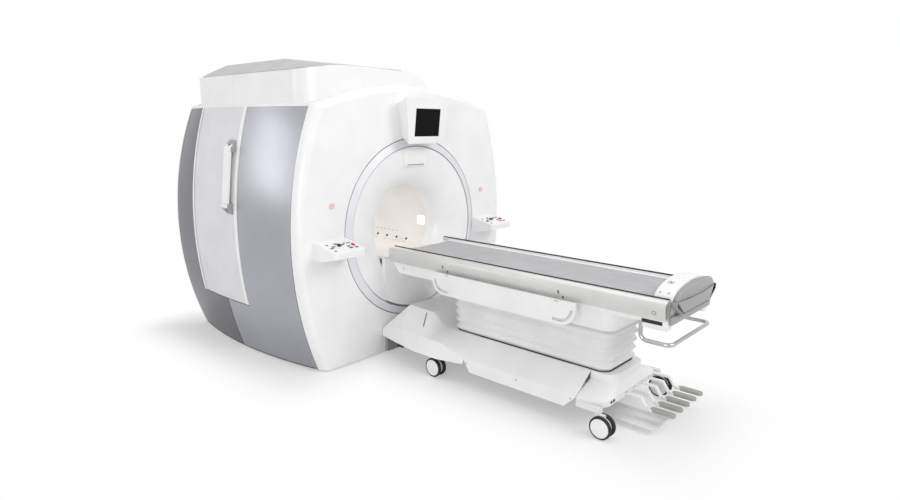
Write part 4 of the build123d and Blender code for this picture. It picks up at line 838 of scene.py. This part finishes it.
def swollen(name, node, inset, voxel, cap):
    """A copy of a pad's solid, shrunk a little and swollen by cloth under pressure."""
    mesh, bm = joined_copy(node)
    low, high = limits_of(node)
    middle, size = (low + high) / 2, high - low
    for v in bm.verts:
        for k in range(3):
            v.co[k] = middle[k] + (v.co[k] - middle[k]) * (1 - 2 * inset / size[k])
    bm.to_mesh(mesh)
    bm.free()
    made = put_in_scene(name, mesh)
    remesh = made.modifiers.new("remesh", "REMESH")
    remesh.mode = "VOXEL"
    remesh.voxel_size = voxel
    graph = bpy.context.evaluated_depsgraph_get()
    made.data = bpy.data.meshes.new_from_object(made.evaluated_get(graph))
    made.modifiers.clear()
    made.data.materials.clear()
    inflate(made, cap)
    made.data.shade_smooth()
    return made


pad = swollen("cradle_mattress", "cradle_pad", pad_inset, pad_voxel, pad_swell)
pad.data.materials.append(pad_vinyl)
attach(pad, "cradle_body")
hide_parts("cradle_pad")

# Floor: pale and matt round the object, where its shadow lies, and plain white further out
magnet_middle, magnet_half = (0, 0), (1.2, 0.95)
table_middle, table_half = (0, -2.25), (0.45, 1.2)
white_from, least_white_share = 0.55, 0.35
floor_half, floor_z = 30, -0.0005


def far_from(tree, place, centre, half):
    """Distance on the floor from a box round part of the object."""
    steps = (("SUBTRACT", centre), ("ABSOLUTE", (0, 0)), ("SUBTRACT", half), ("MAXIMUM", (0, 0)))
    for operation, other in steps:
        settings = {"operation": operation, 1: (*other, 0)}
        place = add(tree, "ShaderNodeVectorMath", settings, {0: place}).outputs["Vector"]
    return add(tree, "ShaderNodeVectorMath", {"operation": "LENGTH"}, {0: place}).outputs["Value"]


def seen_rays(tree):
    """1 for rays from the camera and for rays that metal or glass sends on."""
    rays = add(tree, "ShaderNodeLightPath")
    seen = rays.outputs["Is Camera Ray"]
    for kind in ("Is Glossy Ray", "Is Transmission Ray"):
        links = {0: seen, 1: rays.outputs[kind]}
        seen = add(tree, "ShaderNodeMath", {"operation": "MAXIMUM"}, links).outputs["Value"]
    return seen


def floor_look():
    """Matt white that turns to plain white, for the rays that see it, away from the object."""
    made = bpy.data.materials.new("white_studio_floor")
    made.use_nodes = True
    tree = made.node_tree
    tree.nodes.clear()
    place = add(tree, "ShaderNodeTexCoord").outputs["Object"]
    magnet_gap = far_from(tree, place, magnet_middle, magnet_half)
    table_gap = far_from(tree, place, table_middle, table_half)
    nearest = add(tree, "ShaderNodeMath", {"operation": "MINIMUM"}, {0: magnet_gap, 1: table_gap})
    away = add(
        tree,
        "ShaderNodeMapRange",
        {
            "interpolation_type": "SMOOTHSTEP", "From Min": 0.0, "From Max": white_from,
            "To Min": least_white_share, "To Max": 1.0,
        },
        {"Value": nearest.outputs["Value"]},
    )
    share = add(
        tree, "ShaderNodeMath", {"operation": "MULTIPLY"}, {0: away.outputs["Result"], 1: seen_rays(tree)}
    )
    matt = add(tree, "ShaderNodeBsdfDiffuse", {"Color": linear("#F4F4F4")})
    plain = add(tree, "ShaderNodeEmission", {"Color": linear("#FFFFFF"), "Strength": 1.0})
    mixed = add(
        tree,
        "ShaderNodeMixShader",
        (),
        {0: share.outputs["Value"], 1: matt.outputs["BSDF"], 2: plain.outputs["Emission"]},
    )
    add(tree, "ShaderNodeOutputMaterial", (), {"Surface": mixed.outputs["Shader"]})
    return made


bm = bmesh.new()
bmesh.ops.create_grid(bm, x_segments=1, y_segments=1, size=floor_half)
bmesh.ops.translate(bm, verts=bm.verts, vec=(0, 0, floor_z))
floor_mesh = bpy.data.meshes.new("floor")
bm.to_mesh(floor_mesh)
bm.free()
floor = put_in_scene("floor", floor_mesh)
floor_mesh.materials.append(floor_look())
floor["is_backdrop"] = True

# Light: surroundings that look white and light the object at half that strength
surround_light, surround_white = 0.5, 1.0
world = bpy.data.worlds.new("studio")
world.use_nodes = True
tree = world.node_tree
background = tree.nodes["Background"]
background.inputs["Color"].default_value = linear("#FFFFFF")
levels = {"To Min": surround_light, "To Max": surround_white}
strength = add(tree, "ShaderNodeMapRange", levels, {"Value": seen_rays(tree)})
tree.links.new(strength.outputs["Result"], background.inputs["Strength"])
scene.world = world


def lamp(name, place, aim, size, power):
    """A rectangular lamp that shines from a place towards a point."""
    light = bpy.data.lights.new(name, "AREA")
    light.shape = "RECTANGLE"
    light.size, light.size_y = size
    light.energy = power
    made = put_in_scene(name, light)
    made.location = place
    made.rotation_euler = (Vector(aim) - Vector(place)).to_track_quat("-Z", "Y").to_euler()


# A high key in front, soft light from above and from the left, a strip that draws the bright band on the
# silver wall, and the light inside the bore
lamp("key", place=(1.5, -7.5, 5.0), aim=(0, -1.2, 1.0), size=(4, 3), power=160)
lamp("top", place=(0, -1.5, 6.5), aim=(0, -1.2, 0), size=(6, 6), power=110)
lamp("fill", place=(-7, -5.0, 2.6), aim=(-0.5, -1.5, 0.8), size=(3, 3), power=135)
lamp("strip", place=(-3.92, 1.5, 2.6), aim=(-1.17, -0.66, 1.7), size=(0.95, 2.1), power=14)
lamp("bore", place=(0, 0, 1.38), aim=(0, 0, 1.0), size=(0.1, 1.4), power=2.6)

# Camera at the photograph's place
camera_place, camera_lens_mm, camera_sensor_mm = (-3.742, -4.805, 1.941), 24.688, 36
yaw, pitch, roll = (math.radians(angle) for angle in (47.826, -11.559, 0.327))
camera = bpy.data.cameras.new("camera")
camera.lens = camera_lens_mm
camera.sensor_width = camera_sensor_mm
view = put_in_scene("camera", camera)
ahead = Vector((math.sin(yaw) * math.cos(pitch), math.cos(yaw) * math.cos(pitch), math.sin(pitch)))
level_right = Vector((math.cos(yaw), -math.sin(yaw), 0))
level_up = level_right.cross(ahead)
right = math.cos(roll) * level_right + math.sin(roll) * level_up
up = math.cos(roll) * level_up - math.sin(roll) * level_right
turn = Matrix((right, up, -ahead)).transposed().to_4x4()
view.matrix_world = Matrix.Translation(camera_place) @ turn
scene.camera = view
scene.view_settings.view_transform = "Standard"

low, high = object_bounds()
